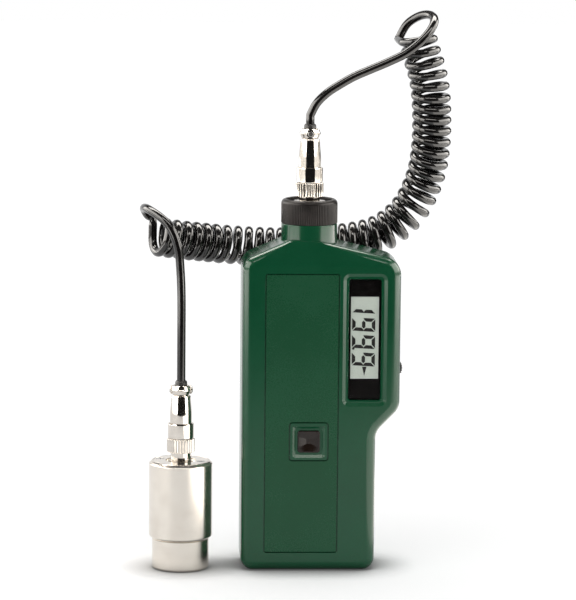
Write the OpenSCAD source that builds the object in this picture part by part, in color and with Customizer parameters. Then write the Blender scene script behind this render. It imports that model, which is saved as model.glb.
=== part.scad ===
// Handheld vibration meter with a remote sensor on a curly cord.
// The meter stands upright on its base. +Z is up and the display faces -Y.
// The origin is on the base, below the axis of the socket.

/* [Case] */
// Width of the lower case
case_w = 65; // [62:1:68]
// Depth of the case from front to back
case_d = 32; // [31.5:0.5:35]
// Reach of the display part to the right of the socket's axis
display_reach = 44; // [43:0.5:48]
// Height of the flat crown under the neck
crown_z = 161.4; // [159.5:0.5:162.5]
// Height at which the slopes would meet the sides
shoulder_z = 151.5; // [150.5:0.5:152.5]
// Reach of the flat crown to the left
crown_left = 9.5; // [8:0.5:12]
// Reach of the flat crown to the right
crown_right = 3; // [2:0.5:6]
// Height at which the display part's underside would meet its side
step_z = 79.6; // [78:0.2:80]
// Height at which that underside would meet the lower case
waist_z = 67.8; // [66:0.2:68.6]
// Radius of the corners at the base, seen from the front
base_r = 6; // [5:0.5:7]
// Radius of the left shoulder
left_shoulder_r = 7; // [5:0.5:9]
// Radius of the right shoulder
right_shoulder_r = 9.5; // [6:0.5:11]
// Radius of both bends under the display part
step_r = 9; // [6:0.5:9]
// Radius of the rounding all round the front face
front_edge_r = 4.8; // [3.5:0.1:4.9]
// Height of the front's upper end, which leans back to the neck
lean_h = 10.9; // [9:0.1:12]
// Radius of the rounding all round the back
rear_edge_r = 4; // [3:0.2:4.6]
// Wall of the mouldings
wall = 2.2; // [2:0.1:2.4]
// Wall at the back, where the battery cover is let in
rear_wall = 2.6; // [2.4:0.1:2.8]
// Distance from the back to the seam between the shells
seam_depth = 8; // [7:0.5:9]
// Chamfer along both sides of the seam
seam_chamfer = 0.3; // [0.2:0.05:0.5]

/* [Neck and collar] */
// Radius of the moulded neck
neck_r = 13.5; // [13:0.1:13.8]
// Height of the neck's top
neck_z = 168.3; // [167:0.5:170]
// Radius of the bore in the neck
neck_bore_r = 11.5; // [11:0.1:11.8]
// Radius of the black collar
collar_r = 13.6; // [13.3:0.1:14.2]
// Height of the collar above the neck
collar_h = 11.7; // [11:0.1:13]
// Rounding of the collar's upper edge
collar_edge_r = 2.2; // [1.5:0.1:2.4]
// Radius of the recess in the collar
recess_r = 11; // [10.4:0.1:11.2]
// Depth of the recess in the collar
recess_h = 4; // [3.5:0.1:4.4]
// Thickness of the collar's floor
collar_floor = 3; // [2.5:0.1:3.4]
// Length of the spigot that enters the neck
spigot_h = 6; // [5:0.5:7]

/* [Front] */
// Left edge of the label panel, from the socket's axis
panel_left = 21.5; // [20.5:0.5:22.5]
// Right edge of the label panel
panel_right = 14.3; // [13:0.1:14.6]
// Lower edge of the label panel
panel_bottom = 9; // [8:0.5:12]
// Upper edge of the label panel
panel_top = 145.4; // [140:0.2:146]
// Thickness of the label panel
panel_t = 0.35; // [0.3:0.05:0.4]
// Depth of the pocket that holds the label panel
panel_pocket = 0.5; // [0.45:0.05:0.6]
// Side of the square key frame that shows through the label panel
key_frame = 18.2; // [17:0.2:19]
// Height of the key's centre
key_z = 63.7; // [60:0.1:64]
// Side of the square key
key_w = 10.6; // [10:0.1:11]
// Travel of the key
key_travel = 1; // [0.6:0.1:1.2]
// Distance of the display's middle from the right side
display_side = 17.4; // [17:0.1:17.6]
// Middle height of the display
display_z = 113.3; // [112.5:0.1:114]
// Width of the display's window
window_w = 15.6; // [15:0.1:16]
// Height of the display's window
window_h = 58.9; // [57:0.1:59.4]
// Width of the bevelled frame round the window
frame_w = 2.9; // [2.6:0.1:3]
// Width of the readable glass
glass_view_w = 13.5; // [12:0.1:14]
// Height of the readable glass
glass_view_h = 40; // [36:0.5:42]
// Distance from the window's top to the readable glass
glass_view_drop = 8.7; // [8:0.1:10]

/* [Selector] */
// Height of the selector's middle position
selector_z = 98; // [96:0.5:104]
// Distance between two positions of the selector
selector_pitch = 2.2; // [1.8:0.1:2.4]
// Length of the selector's knob
selector_h = 6; // [5.5:0.1:6.5]
// Reach of the knob beyond the case
selector_reach = 1.7; // [1.4:0.1:2]

/* [Battery] */
// Width of the 9 V battery
battery_w = 26.5; // [26:0.1:26.7]
// Height of the battery's can
battery_h = 46.4; // [45:0.1:46.6]
// Thickness of the battery
battery_t = 17.2; // [16:0.1:17.4]
// Height of the compartment's floor
bay_z = 10.5; // [10:0.5:11.5]
// Width of the battery cover
cover_w = 33; // [32.4:0.2:34]
// Height of the battery cover
cover_h = 60; // [58:0.5:61]
// Thickness of the battery cover
cover_t = 1.4; // [1.3:0.05:1.5]

/* [Plugs] */
// Radius of the knurled nut
nut_r = 6.75; // [6.5:0.05:7]
// Height of the knurled nut
nut_h = 6.6; // [6.2:0.1:7.4]
// Number of flutes round the nut
nut_flutes = 30; // [18:1:32]
// Radius of the plug's barrel
barrel_r = 6.35; // [6:0.05:6.6]
// Height of the plug's barrel
barrel_h = 7.4; // [6.5:0.1:8.5]
// Radius of the tail where it meets the barrel
tail_r = 5.35; // [5.1:0.05:5.6]
// Radius of the tail at its top
tail_top_r = 4.65; // [4.4:0.05:5]
// Height of the tail
tail_h = 13.7; // [12.5:0.1:15]
// Radius of the cord clamp
clamp_r = 5.1; // [4.9:0.05:5.4]
// Height of the cord clamp
clamp_h = 4.5; // [4:0.1:5]
// Radius of the socket's threaded tube
socket_r = 5; // [4.8:0.05:5.1]
// Gap below the meter's plug nut, over the collar
meter_plug_rise = 1.25; // [1:0.05:2]
// Gap below the sensor's plug nut, over the sensor
sensor_plug_rise = 4.2; // [3.6:0.1:5]

/* [Cord] */
// Diameter of the cord
cord_d = 4.2; // [3.8:0.1:4.3]
// Radius of the curls, to the middle of the cord
curl_r = 7.6; // [7:0.1:7.8]
// Gap between neighbouring curls, at its least
curl_gap = 0.72; // [0.6:0.02:1]

/* [Sensor] */
// Distance of the sensor to the left of the socket's axis
sensor_left = 61.5; // [58:0.5:66]
// Distance of the sensor in front of the socket's axis
sensor_front = 6.5; // [4:0.5:9]
// Radius of the sensor's housing
sensor_r = 15.4; // [15:0.1:16]
// Height of the sensor with its magnet base
sensor_z = 53; // [51:0.5:56]
// Radius of the magnet base
magnet_r = 13.8; // [13.4:0.1:14.2]
// Height of the magnet base
magnet_h = 15; // [14:0.5:16]
// Radius of the screwed-in cap
cap_r = 13.4; // [13:0.1:13.6]
// Thickness of the cap
cap_t = 5; // [4.5:0.1:5.5]
// Radius of the hollow in the housing
hollow_r = 8.3; // [8:0.1:8.4]
// Radius on which the cap screws sit
cap_screw_ring = 10.4; // [10.3:0.1:10.6]

/* [Hidden] */
$fn = 64;

// Clearances and the overrun of all cuts
cut = 1;
slip = 0.05;
play = 0.1;
loose = 0.25;

case_green = [0.02, 0.24, 0.15];
label_green = [0.13, 0.31, 0.2];
key_black = [0.06, 0.05, 0.05];
collar_black = [0.14, 0.12, 0.11];
nickel = [0.8, 0.77, 0.72];
cord_black = [0.03, 0.03, 0.03];

// Planes of the case, from front to back
front_y = -case_d / 2;
back_y = case_d / 2;
seam_y = back_y - seam_depth;
inside_y = front_y + wall;
rear_inside_y = back_y - rear_wall;
collar_top = neck_z + collar_h;
display_x = display_reach - display_side;
collar_under = collar_top - recess_h - collar_floor;

// Corners of the front outline: across, up, radius, and 1 outside or -1 in the bend
crown_r = 6;
corner_steps = 5;
corners = [
    [-case_w / 2, 0, base_r, 1],
    [case_w / 2, 0, base_r, 1],
    [case_w / 2, waist_z, step_r, -1],
    [display_reach, step_z, step_r, 1],
    [display_reach, shoulder_z, right_shoulder_r, 1],
    [crown_right, crown_z, crown_r, 1],
    [-crown_left, crown_z, crown_r, 1],
    [-case_w / 2, shoulder_z, left_shoulder_r, 1]
];

function unit(v) = v / norm(v);
function flat(lists) = [for (list = lists) each list];

// Arc of one corner, with the outline drawn in by inset
function corner_arc(i, inset) =
    let (
        n = len(corners),
        here = [corners[i][0], corners[i][1]],
        before = [corners[(i + n - 1) % n][0], corners[(i + n - 1) % n][1]],
        after = [corners[(i + 1) % n][0], corners[(i + 1) % n][1]],
        u = unit(before - here),
        v = unit(after - here),
        half = acos(u * v) / 2,
        side = corners[i][3],
        centre = here + unit(u + v) * corners[i][2] / sin(half),
        r = corners[i][2] - side * inset,
        middle = -unit(u + v) * r,
        spread = 90 - half
    )
    [for (k = [0 : corner_steps])
        let (a = side * spread * (2 * k / corner_steps - 1))
        centre + [middle[0] * cos(a) - middle[1] * sin(a), middle[0] * sin(a) + middle[1] * cos(a)]
    ];

function outline(inset) = flat([for (i = [0 : len(corners) - 1]) corner_arc(i, inset)]);

// Solid through copies of the outline, each given as a plane and an inset
module outline_loft(layers) {
    rings = [for (layer = layers) [for (p = outline(layer[1])) [p[0], layer[0], p[1]]]];
    n = len(rings[0]);
    polyhedron(
        points = flat(rings),
        faces = concat(
            [[for (i = [n - 1 : -1 : 0]) i]],
            flat([for (k = [0 : len(layers) - 2], i = [0 : n - 1])
                let (a = k * n + i, b = k * n + (i + 1) % n)
                [[a, b, a + n], [b, b + n, a + n]]
            ]),
            [[for (i = [0 : n - 1]) (len(layers) - 1) * n + i]]
        )
    );
}

module along_y(from, to)
    translate([0, to, 0]) rotate([90, 0, 0]) linear_extrude(to - from) children();

module round_rect(w, h, r) {
    square([w - 2 * r, h], center = true);
    square([w, h - 2 * r], center = true);
    for (x = [-1, 1], y = [-1, 1])
        translate([x * (w / 2 - r), y * (h / 2 - r)]) circle(r);
}

// Plate round a point of the front view
module plate(x, z, w, h, r, from, to)
    translate([x, 0, z]) along_y(from, to) round_rect(w, h, r);

module rod(x, z, r, from, to)
    translate([x, to, z]) rotate([90, 0, 0]) cylinder(r = r, h = to - from);

// Pocket whose walls slope in from the mouth, at plane from, to the floor
bevel_skin = 0.01;
bevel_fn = 32;
module bevel_pocket(x, z, w, h, r, slope, from, to)
    hull() {
        plate(x, z, w, h, r, from - bevel_skin, from, $fn = bevel_fn);
        plate(x, z, w - 2 * slope, h - 2 * slope, max(r - slope, bevel_skin),
            to - bevel_skin, to, $fn = bevel_fn);
    }

// Rounding of an outer edge as planes and insets; its last step runs on past the face
edge_steps = 5;
edge_overrun = 1.6;
function edge_step(k, r, face, way) =
    let (a = 90 * min(k, edge_steps) / edge_steps)
    [face + way * r * (sin(a) - 1), r * (1 - cos(a))];
function edge_layers(r, face, way) = concat(
    [for (k = [0 : edge_steps - 1]) edge_step(k, r, face, way)],
    [mix(edge_step(edge_steps - 1, r, face, way), edge_step(edge_steps, r, face, way), edge_overrun)]
);
function reversed(list) = [for (i = [len(list) - 1 : -1 : 0]) list[i]];

// Space in front of the leaning upper end, or of a plane behind that by gap
lean_depth = -front_y - neck_r;
module lean_space(gap)
    translate([0, front_y, crown_z - lean_h]) rotate([-atan(lean_depth / lean_h), 0, 0])
        translate([-case_w, gap - case_d, 0]) cube([2 * case_w, case_d, case_w]);

module beyond(from)
    translate([-2 * case_w, from, -case_w]) cube([4 * case_w, case_d, 2 * case_w + crown_z]);

// Screw places, from the walls that carry them
boss_r = 3;
boss_gap = 0.4;
boss_x = case_w / 2 - rear_edge_r - boss_r - boss_gap;
boss_low_z = rear_edge_r + boss_r + boss_gap;
boss_left_x = -case_w / 2 + wall + 2 * boss_r;
boss_left_z = shoulder_z - rear_edge_r - 3 * boss_gap;
boss_right_z = display_z + window_h / 2 + boss_r + 4 * boss_gap;
case_screw_places = [
    [-boss_x, boss_low_z], [boss_x, boss_low_z],
    [boss_left_x, boss_left_z], [display_x, boss_right_z]
];
case_screw_r = 1.3;
case_screw_share = 0.47;
case_screw_head_r = 2.5;
case_screw_head_h = 1.8;
case_head_y = rear_inside_y;
case_screw_len = (case_head_y - case_screw_head_h - inside_y) * case_screw_share;
case_thread_end = case_head_y - case_screw_head_h - case_screw_len;

// Battery compartment
bay_wall = 1.2;
bay_slack = 0.5;
snap_h = 3;
battery_x = 0;
bay_h = battery_h + snap_h + 2 * bay_slack;
battery_back = back_y - cover_t - bay_slack;
battery_front = battery_back - battery_t;
bay_front = battery_front - slip;

// Main board, in front of the compartment, and its screws
board_t = 1.6;
board_back = bay_front - bay_wall - bay_slack;
board_front = board_back - board_t;
board_edge = 0.8;
board_x = case_w / 2 - wall - board_edge;
board_low = boss_low_z + boss_r + 2 * board_edge;
board_left_top = boss_left_z - boss_r - 2 * board_edge;
board_top = display_z + window_h / 2 + board_edge;
board_right = display_reach - wall - 2 * board_edge;
board_turn = board_right - board_x;
standoff_r = 2.4;
board_screw_r = 1;
board_screw_share = 0.66;
board_screw_len = (board_back - inside_y) * board_screw_share;
board_screw_head_r = 1.9;
board_screw_head_h = 1.2;
board_screw_x = board_x - standoff_r - board_edge;
board_screw_low = board_low + standoff_r + board_edge;
board_screw_top = board_left_top - standoff_r - board_edge;
board_screw_places = [
    [-board_screw_x, board_screw_low], [board_screw_x, board_screw_low],
    [-board_screw_x, board_screw_top], [panel_right - standoff_r, board_screw_top]
];

// Display stack behind the front wall
display_r = 1.2;
frame_r = 3;
frame_bevel = 1.6;
frame_step = 0.8;
frame_ledge = 0.5;
frame_depth = 1.5;
frame_floor = front_y + frame_depth;
window_lap = 1.1;
window_t = 1;
mask_t = 0.2;
glass_share = 0.43;
window_y = inside_y;
mask_y = window_y + window_t;
glass_y = mask_y + mask_t + slip;
glass_back = mix(glass_y, board_front, glass_share);
glass_w = window_w + 2 * window_lap;
glass_margin = 2;
glass_h = window_h - 2 * glass_margin;
glass_view_z = display_z + window_h / 2 - glass_view_drop - glass_view_h / 2;
lcd_wall = 0.9;
zebra_w = 2;

// Key and push switch
key_pocket = 15.6;
key_pocket_depth = 1.2;
key_slope = 1.3;
key_proud = 0.15;
key_floor = front_y + key_pocket_depth;
key_front = front_y - key_proud;
key_flange = 13;
key_flange_t = 1;
key_dish_r = 15.5;
key_dish_depth = 0.7;
key_back = inside_y + play + key_flange_t;
plunger_r = 1.7;
plunger_root = 0.4;
switch_w = 6.2;
switch_share = 0.52;
switch_front = mix(key_back, board_front, switch_share);

// Selector
selector_rise = 2.5;
selector_y = board_back + selector_rise;
selector_w = 5.6;
selector_stem_h = 3;
selector_stem_w = 3;
selector_crown_r = 5.2;
selector_recess = 0.8;
selector_ridges = 5;
ridge_r = 0.36;
ridge_angle = 12.5;
slide_w = 5;
slide_h = 15;
slide_depth = 7;
slide_gap = 1.2;
slide_x = display_reach - wall - slide_gap;
slide_channel = 3;

// Battery cover and its lower lip
ledge = 2;
cover_low = bay_z - ledge;
cover_r = 1.5;
cover_pocket = cover_t + play;
lip_tab_w = 8;
lip_tab_h = 1.6;
lip_tab_t = 0.7;
cover_rib_h = 4;
grip_grooves = 4;
grip_w = 12;
grip_depth = 0.5;
grip_drop = 4;
grip_pitch = 1.6;

// Plug, measured up from the bottom of its nut
socket_top = 1.95;
spigot_r = 3.8;
spigot_wall = 0.7;
spigot_low = -2.6;
ring_low = socket_top + play;
ring_h = 1.3;
ring_r = socket_r - play;
lip_low = ring_low + ring_h + play;
lip_r = spigot_r + 2 * play;
barrel_low = nut_h + play;
barrel_top = barrel_low + barrel_h;
barrel_chamfer = 0.5;
tail_top = barrel_top + tail_h;
tail_straight_share = 0.35;
tail_bore_r = 3.4;
stub_r = 4.2;
stub_h = 3;
throat_r = 2.75;
throat_h = 1.6;
clamp_low = tail_top + 3 * play;
clamp_top = clamp_low + clamp_h;
clamp_bore_r = tail_bore_r + play;
clamp_waist = 1.3;
belt_share = 0.36;
clamp_screw_r = 0.9;
clamp_head_r = 1.35;
clamp_head_h = 0.9;
sleeve_rise = 2.2;
sleeve_top = clamp_top + sleeve_rise;
sleeve_head_r = 3;
sleeve_depth = 6;
cord_inside = 7;
cord_seat = tail_top - cord_inside;
insert_r = spigot_r - spigot_wall - slip;
insert_low = spigot_low + 2 * play;
insert_top = barrel_top - play;
pin_r = 0.5;
pin_ring = 1.6;
pin_count = 4;
pin_reach = 3;
socket_wall = 1.1;
socket_insert_h = 9;
flute_r = 0.42;
socket_flange_r = 7;
socket_flange_h = 1.5;
ring_nut_r = 7.75;
ring_nut_h = 3.2;

meter_plug_z = collar_top + meter_plug_rise;
sensor_plug_z = sensor_z + sensor_plug_rise;
sensor_x = -sensor_left;
sensor_y = -sensor_front;
meter_plug = [0, 0, meter_plug_z];
sensor_plug = [sensor_x, sensor_y, sensor_plug_z];
meter_clamp_turn = 0;
sensor_clamp_turn = 90;

// Axis of the curly stretch, from the meter's lead to the sensor's lead
coil_route = [
    [52, 13, 257], [54, 13, 250], [57, 14, 241], [59, 15, 231], [60, 17, 219],
    [60, 19.5, 204], [58, 23, 189], [52, 26, 174], [43, 27, 164], [32, 27, 158],
    [17, 27, 155], [1, 27, 153.5], [-14, 27, 153], [-28, 26.5, 153.5], [-40, 24.5, 154.5],
    [-51, 20.5, 156], [-61, 16.5, 157.5], [-73, 12.5, 159.5]
];
// Lead from the meter's plug, over its loose curl to the first curl
meter_route = [
    [3, 0, 226], [8, 0, 231], [14, 0, 235], [21, 0, 239], [29, 0, 242.5], [37, -0.5, 246],
    [45, -1, 250], [51, -1, 254.5], [56, 0, 259.5], [59, 3, 264], [59.5, 9, 267],
    [57, 15, 268], [52.5, 19.5, 266.5], [47.5, 21.5, 262.5]
];
// Lead from the last curl, up and over to the sensor's plug
sensor_route = [
    [-77.5, 20, 169], [-79.5, 16.5, 172.5], [-79, 10, 174], [-76.5, 3, 173.5],
    [-72, -2, 171], [-68, -4.5, 167.5], [-65, -6, 162], [-63, -6.5, 155], [-62.2, -6.5, 147],
    [-61.7, -6.5, 138], [-61.5, -6.5, 128], [-61.5, -6.5, 115]
];
coil_fine = 8;
lead_fine = 2;
curl_rings = 8;
curl_sides = 6;
lead_sides = 10;
first_turn = -90;
last_turn = 0;

// Smooth curve through points, with the same number of steps in each span
function knot(pts, i) =
    i < 0 ? 2 * pts[0] - pts[1] :
    i >= len(pts) ? 2 * pts[len(pts) - 1] - pts[len(pts) - 2] : pts[i];
function curve_point(pts, i, t) =
    let (a = knot(pts, i - 1), b = knot(pts, i), c = knot(pts, i + 1), d = knot(pts, i + 2))
    (2 * b + (c - a) * t + (2 * a - 5 * b + 4 * c - d) * t * t
        + (3 * b - a - 3 * c + d) * t * t * t) / 2;
function curve(pts, steps) = concat(
    [for (i = [0 : len(pts) - 2], k = [0 : steps - 1]) curve_point(pts, i, k / steps)],
    [pts[len(pts) - 1]]
);

// Direction of a row of points at each of them
function headings(pts) = [for (i = [0 : len(pts) - 1])
    unit(pts[min(i + 1, len(pts) - 1)] - pts[max(i - 1, 0)])];

// Number of curls up to each point of the axis: they stay apart inside the bends
coil_axis = curve(coil_route, coil_fine);
coil_heads = headings(coil_axis);
coil_last = len(coil_axis) - 1;
function bend(i) =
    let (a = max(i - 1, 0), b = min(i + 1, coil_last))
    norm(coil_heads[b] - coil_heads[a]) / norm(coil_axis[b] - coil_axis[a]);
function curls_in(i) =
    norm(coil_axis[i + 1] - coil_axis[i])
    * (1 - curl_r * (bend(i) + bend(i + 1)) / 2) / (cord_d + curl_gap);
curls = [for (i = 0, total = 0; i <= coil_last; total = total + (i < coil_last ? curls_in(i) : 0),
    i = i + 1) total];
turn_share = (last_turn - first_turn) / 360;
curl_count = floor(curls[coil_last] + turn_share) - turn_share;

function mix(a, b, t) = a + (b - a) * t;
// Point on the curly stretch and the way out from its axis, after a share of its curls
function coil_at(share) =
    let (
        target = share * curls[coil_last],
        i = min(coil_last - 1, len([for (c = curls) if (c <= target) c]) - 1),
        t = (target - curls[i]) / (curls[i + 1] - curls[i]),
        centre = mix(coil_axis[i], coil_axis[i + 1], t),
        head = unit(mix(coil_heads[i], coil_heads[i + 1], t)),
        back = unit([0, 1, 0] - head[1] * head),
        side = cross(head, back),
        angle = first_turn - 360 * share * curl_count,
        out = back * cos(angle) + side * sin(angle)
    )
    [centre + curl_r * out, out];

coil_rings = round(curl_count * curl_rings);
coil_turns = [for (k = [0 : coil_rings]) coil_at(k / coil_rings)];
coil_points = [for (c = coil_turns) c[0]];
function tip(pts, i, j) = pts[i] + unit(pts[i] - pts[j]) * cord_d;
coil_start = tip(coil_points, 0, 1);
coil_end = tip(coil_points, coil_rings, coil_rings - 1);
coil_path = concat([coil_start], coil_points, [coil_end]);
coil_outs = concat([coil_turns[0][1]], [for (c = coil_turns) c[1]], [coil_turns[coil_rings][1]]);

// Least gap of the curly stretch to itself, on its points
coil_self_gap = min([for (i = [0 : coil_rings], j = [i + curl_rings - 2 : coil_rings])
    if (j > i + 1) norm(coil_points[i] - coil_points[j])]) - cord_d;
function path_length(pts) =
    [for (i = 0, total = 0; i < len(pts); total = total + (i < len(pts) - 1
        ? norm(pts[i + 1] - pts[i]) : 0), i = i + 1) total][len(pts) - 1];

meter_exit = meter_plug + [0, 0, sleeve_top];
sensor_exit = sensor_plug + [0, 0, sleeve_top];
meter_path = concat(
    [meter_plug + [0, 0, cord_seat], meter_exit],
    curve(concat([meter_exit + [0, 0, cord_d]], meter_route,
        [tip([coil_start, coil_points[0]], 0, 1)]), lead_fine),
    [coil_start]
);
sensor_path = concat(
    [coil_end],
    curve(concat([tip([coil_end, coil_points[coil_rings]], 0, 1)], sensor_route,
        [sensor_exit + [0, 0, cord_d]]), lead_fine),
    [sensor_exit, sensor_plug + [0, 0, cord_seat]]
);
echo(curls = curl_count, coil_gap = coil_self_gap, coil = path_length(coil_path),
    meter_lead = path_length(meter_path), sensor_lead = path_length(sensor_path));

// Direction across a tube at each of its points, turned as little as it can be
function across(pts) =
    let (heads = headings(pts))
    [for (i = 0, u = cross(heads[0], [1, 0, 0]); i < len(pts);
        i = i + 1, u = let (h = heads[min(i, len(pts) - 1)]) unit(u - (u * h) * h)) u];

// Tube of one unbroken skin along points, with the way across given at each
module tube(pts, outs, r, sides) {
    heads = headings(pts);
    n = len(pts);
    rings = [for (i = [0 : n - 1])
        let (u = unit(outs[i] - (outs[i] * heads[i]) * heads[i]), v = cross(heads[i], u))
        [for (k = [0 : sides - 1])
            pts[i] + r * (u * cos(360 * k / sides) + v * sin(360 * k / sides))]
    ];
    polyhedron(
        points = flat(rings),
        faces = concat(
            [for (k = [1 : sides - 2]) [0, k, k + 1]],
            flat([for (i = [0 : n - 2], k = [0 : sides - 1])
                let (a = i * sides + k, b = i * sides + (k + 1) % sides)
                [[a, a + sides, b], [b, a + sides, b + sides]]
            ]),
            [for (k = [1 : sides - 2]) [(n - 1) * sides, (n - 1) * sides + k + 1, (n - 1) * sides + k]]
        )
    );
}

// The two shells

module neck_stock(low) translate([0, 0, low]) cylinder(r = neck_r, h = neck_z - low);

module neck_bore() {
    translate([0, 0, crown_z - 2 * wall]) cylinder(r = neck_bore_r, h = case_d);
}

module front_shell() color(case_green) difference() {
    union() {
        difference() {
            outline_loft(concat(
                reversed(edge_layers(front_edge_r, front_y, -1)),
                [[seam_y - seam_chamfer, 0], [seam_y, seam_chamfer]]
            ));
            beyond(front_y - case_d);
            lean_space(0);
            difference() {
                along_y(inside_y, seam_y + cut) polygon(outline(wall));
                lean_space(wall);
            }
        }
        intersection() {
            neck_stock(crown_z - 2 * wall);
            translate([-neck_r, front_y, 0]) cube([2 * neck_r, seam_y - front_y, neck_z]);
        }
        for (p = case_screw_places) rod(p[0], p[1], boss_r, inside_y - wall / 2, seam_y);
        for (p = board_screw_places) rod(p[0], p[1], standoff_r, inside_y - wall / 2, board_front);
    }
    neck_bore();
    for (p = case_screw_places)
        rod(p[0], p[1], case_screw_r + slip, case_thread_end - play, seam_y + cut);
    for (p = board_screw_places)
        rod(p[0], p[1], board_screw_r + slip, board_back - board_screw_len - play, board_front + cut);
    difference() {
        label_stock(front_y - cut, front_y + panel_pocket, play);
        plate(0, key_z, key_frame, key_frame, display_r, front_y - 2 * cut, front_y + 2 * cut);
    }
    bevel_pocket(0, key_z, key_pocket, key_pocket, display_r, key_slope, front_y - bevel_skin, key_floor);
    plate(0, key_z, key_w + 2 * play, key_w + 2 * play, display_r, key_floor - cut, inside_y + cut);
    bevel_pocket(display_x, display_z, window_w + 2 * frame_w, window_h + 2 * frame_w, frame_r,
        frame_bevel, front_y - bevel_skin, front_y + frame_step);
    bevel_pocket(display_x, display_z, window_w + 2 * (frame_w - frame_bevel - frame_ledge),
        window_h + 2 * (frame_w - frame_bevel - frame_ledge), frame_r - frame_bevel,
        frame_w - frame_bevel - frame_ledge, front_y + frame_step - bevel_skin, frame_floor);
    plate(display_x, display_z, window_w, window_h, display_r, frame_floor - cut, inside_y + cut);
    selector_cut();
}

module selector_cut() translate([0, selector_y, selector_z]) {
    translate([display_reach - selector_recess, 0, 0]) rotate([90, 0, 90])
        linear_extrude(cut + selector_recess)
        round_rect(selector_w + 4 * loose, selector_h + 2 * selector_pitch + 4 * loose, display_r);
    translate([display_reach - wall - cut, 0, 0]) rotate([90, 0, 90]) linear_extrude(wall + 2 * cut)
        square([selector_stem_w + 2 * loose, selector_stem_h + 2 * selector_pitch + 2 * loose],
            center = true);
}

module rear_shell() color(case_green) difference() {
    union() {
        difference() {
            outline_loft(concat(
                [[seam_y, seam_chamfer], [seam_y + seam_chamfer, 0]],
                edge_layers(rear_edge_r, back_y, 1)
            ));
            beyond(back_y);
            along_y(seam_y - cut, rear_inside_y) polygon(outline(wall));
        }
        intersection() {
            neck_stock(crown_z - 2 * wall);
            translate([-neck_r, seam_y, 0]) cube([2 * neck_r, neck_r, neck_z]);
        }
        for (p = case_screw_places) rod(p[0], p[1], boss_r + loose, seam_y, rear_inside_y + slip);
        difference() {
            translate([battery_x - battery_w / 2 - bay_slack - bay_wall, bay_front - bay_wall,
                bay_z - bay_wall])
                cube([battery_w + 2 * (bay_slack + bay_wall), rear_inside_y - bay_front + bay_wall + slip,
                    bay_h + 2 * bay_wall]);
            bay_space();
        }
    }
    neck_bore();
    bay_space();
    for (p = case_screw_places) {
        rod(p[0], p[1], case_screw_r + loose, seam_y - cut, back_y + cut);
        rod(p[0], p[1], case_screw_head_r + loose, case_head_y - case_screw_head_h, back_y + cut);
    }
    plate(battery_x, cover_low + cover_h / 2, cover_w + 2 * loose, cover_h + 2 * loose, cover_r + loose,
        back_y - cover_pocket, back_y + cut);
    translate([battery_x - lip_tab_w / 2 - loose, rear_inside_y - cut, cover_low - lip_tab_h - 2 * loose])
        cube([lip_tab_w + 2 * loose, cut + rear_wall - cover_t, lip_tab_h + ledge + 2 * loose + cut]);
    translate([battery_x - lead_x - 2 * wire_r, lead_y - 2 * wire_r, bay_z + bay_h - cut])
        cube([2 * (lead_x + 2 * wire_r), 4 * wire_r, bay_wall + 2 * cut]);
}

module bay_space()
    translate([battery_x - battery_w / 2 - bay_slack, bay_front, bay_z])
        cube([battery_w + 2 * bay_slack, case_d, bay_h]);

// The cover tilts out about the lower edge of its outer face
module battery_cover() color(case_green) {
    difference() {
        union() {
            plate(battery_x, cover_low + cover_h / 2, cover_w, cover_h, cover_r, back_y - cover_t, back_y);
            for (x = [-1, 1])
                translate([battery_x + x * (battery_w / 2 - cover_rib_h), back_y - cover_t - bay_slack / 2,
                    bay_z + cover_rib_h])
                    cube([ledge / 2, bay_slack, bay_h - 2 * cover_rib_h]);
            translate([battery_x - lip_tab_w / 2, back_y - cover_t - lip_tab_t, cover_low - lip_tab_h])
                cube([lip_tab_w, lip_tab_t, lip_tab_h + ledge]);
        }
        for (k = [0 : grip_grooves - 1])
            translate([battery_x - grip_w / 2, back_y - grip_depth,
                cover_low + cover_h - grip_drop - k * grip_pitch])
                cube([grip_w, grip_depth + cut, grip_pitch / 2]);
    }
}
// Collar, socket and label

collar_steps = 6;
module top_collar() color(collar_black) rotate_extrude() polygon(concat(
    [[socket_r + slip, neck_z], [socket_r + slip, collar_top - recess_h]],
    [[recess_r, collar_top - recess_h], [recess_r, collar_top - collar_edge_r / 4],
        [recess_r + collar_edge_r / 8, collar_top]],
    [for (k = [0 : collar_steps])
        let (a = 90 - 90 * k / collar_steps)
        [collar_r - collar_edge_r * (1 - cos(a)), collar_top - collar_edge_r * (1 - sin(a))]],
    [[collar_r, neck_z], [neck_bore_r - play, neck_z], [neck_bore_r - play, neck_z - spigot_h],
        [neck_bore_r - wall, neck_z - spigot_h], [neck_bore_r - wall, collar_under],
        [socket_r + slip, collar_under]]
));

// Socket with a flange under the plate that it is screwed to
module socket(under) color(nickel) rotate_extrude() polygon([
    [socket_r - socket_wall, socket_top], [socket_r, socket_top],
    [socket_r, under], [socket_flange_r, under], [socket_flange_r, under - socket_flange_h],
    [socket_r, under - socket_flange_h], [socket_r, spigot_low - socket_insert_h - play],
    [socket_r - socket_wall, spigot_low - socket_insert_h - play]
]);

module insert_pins() for (k = [0 : pin_count - 1])
    rotate([0, 0, 45 + 360 * k / pin_count]) translate([pin_ring, 0, 0]) children();

module contact_insert() color(collar_black) {
    top = spigot_low - play;
    translate([0, 0, top - socket_insert_h])
        cylinder(r = socket_r - socket_wall - slip, h = socket_insert_h);
    insert_pins() translate([0, 0, top - socket_insert_h - pin_reach])
        cylinder(r = pin_r, h = socket_insert_h + 2 * pin_reach + play);
}

module socket_nut() color(nickel) translate([0, 0, collar_top - recess_h]) difference() {
    cylinder(r = ring_nut_r, h = ring_nut_h);
    translate([0, 0, -cut]) cylinder(r = socket_r + slip, h = ring_nut_h + 2 * cut);
    for (k = [0 : 1]) rotate([0, 0, 180 * k])
        translate([socket_r, -pin_r, ring_nut_h - pin_r]) cube([ring_nut_r, 2 * pin_r, cut]);
}

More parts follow.
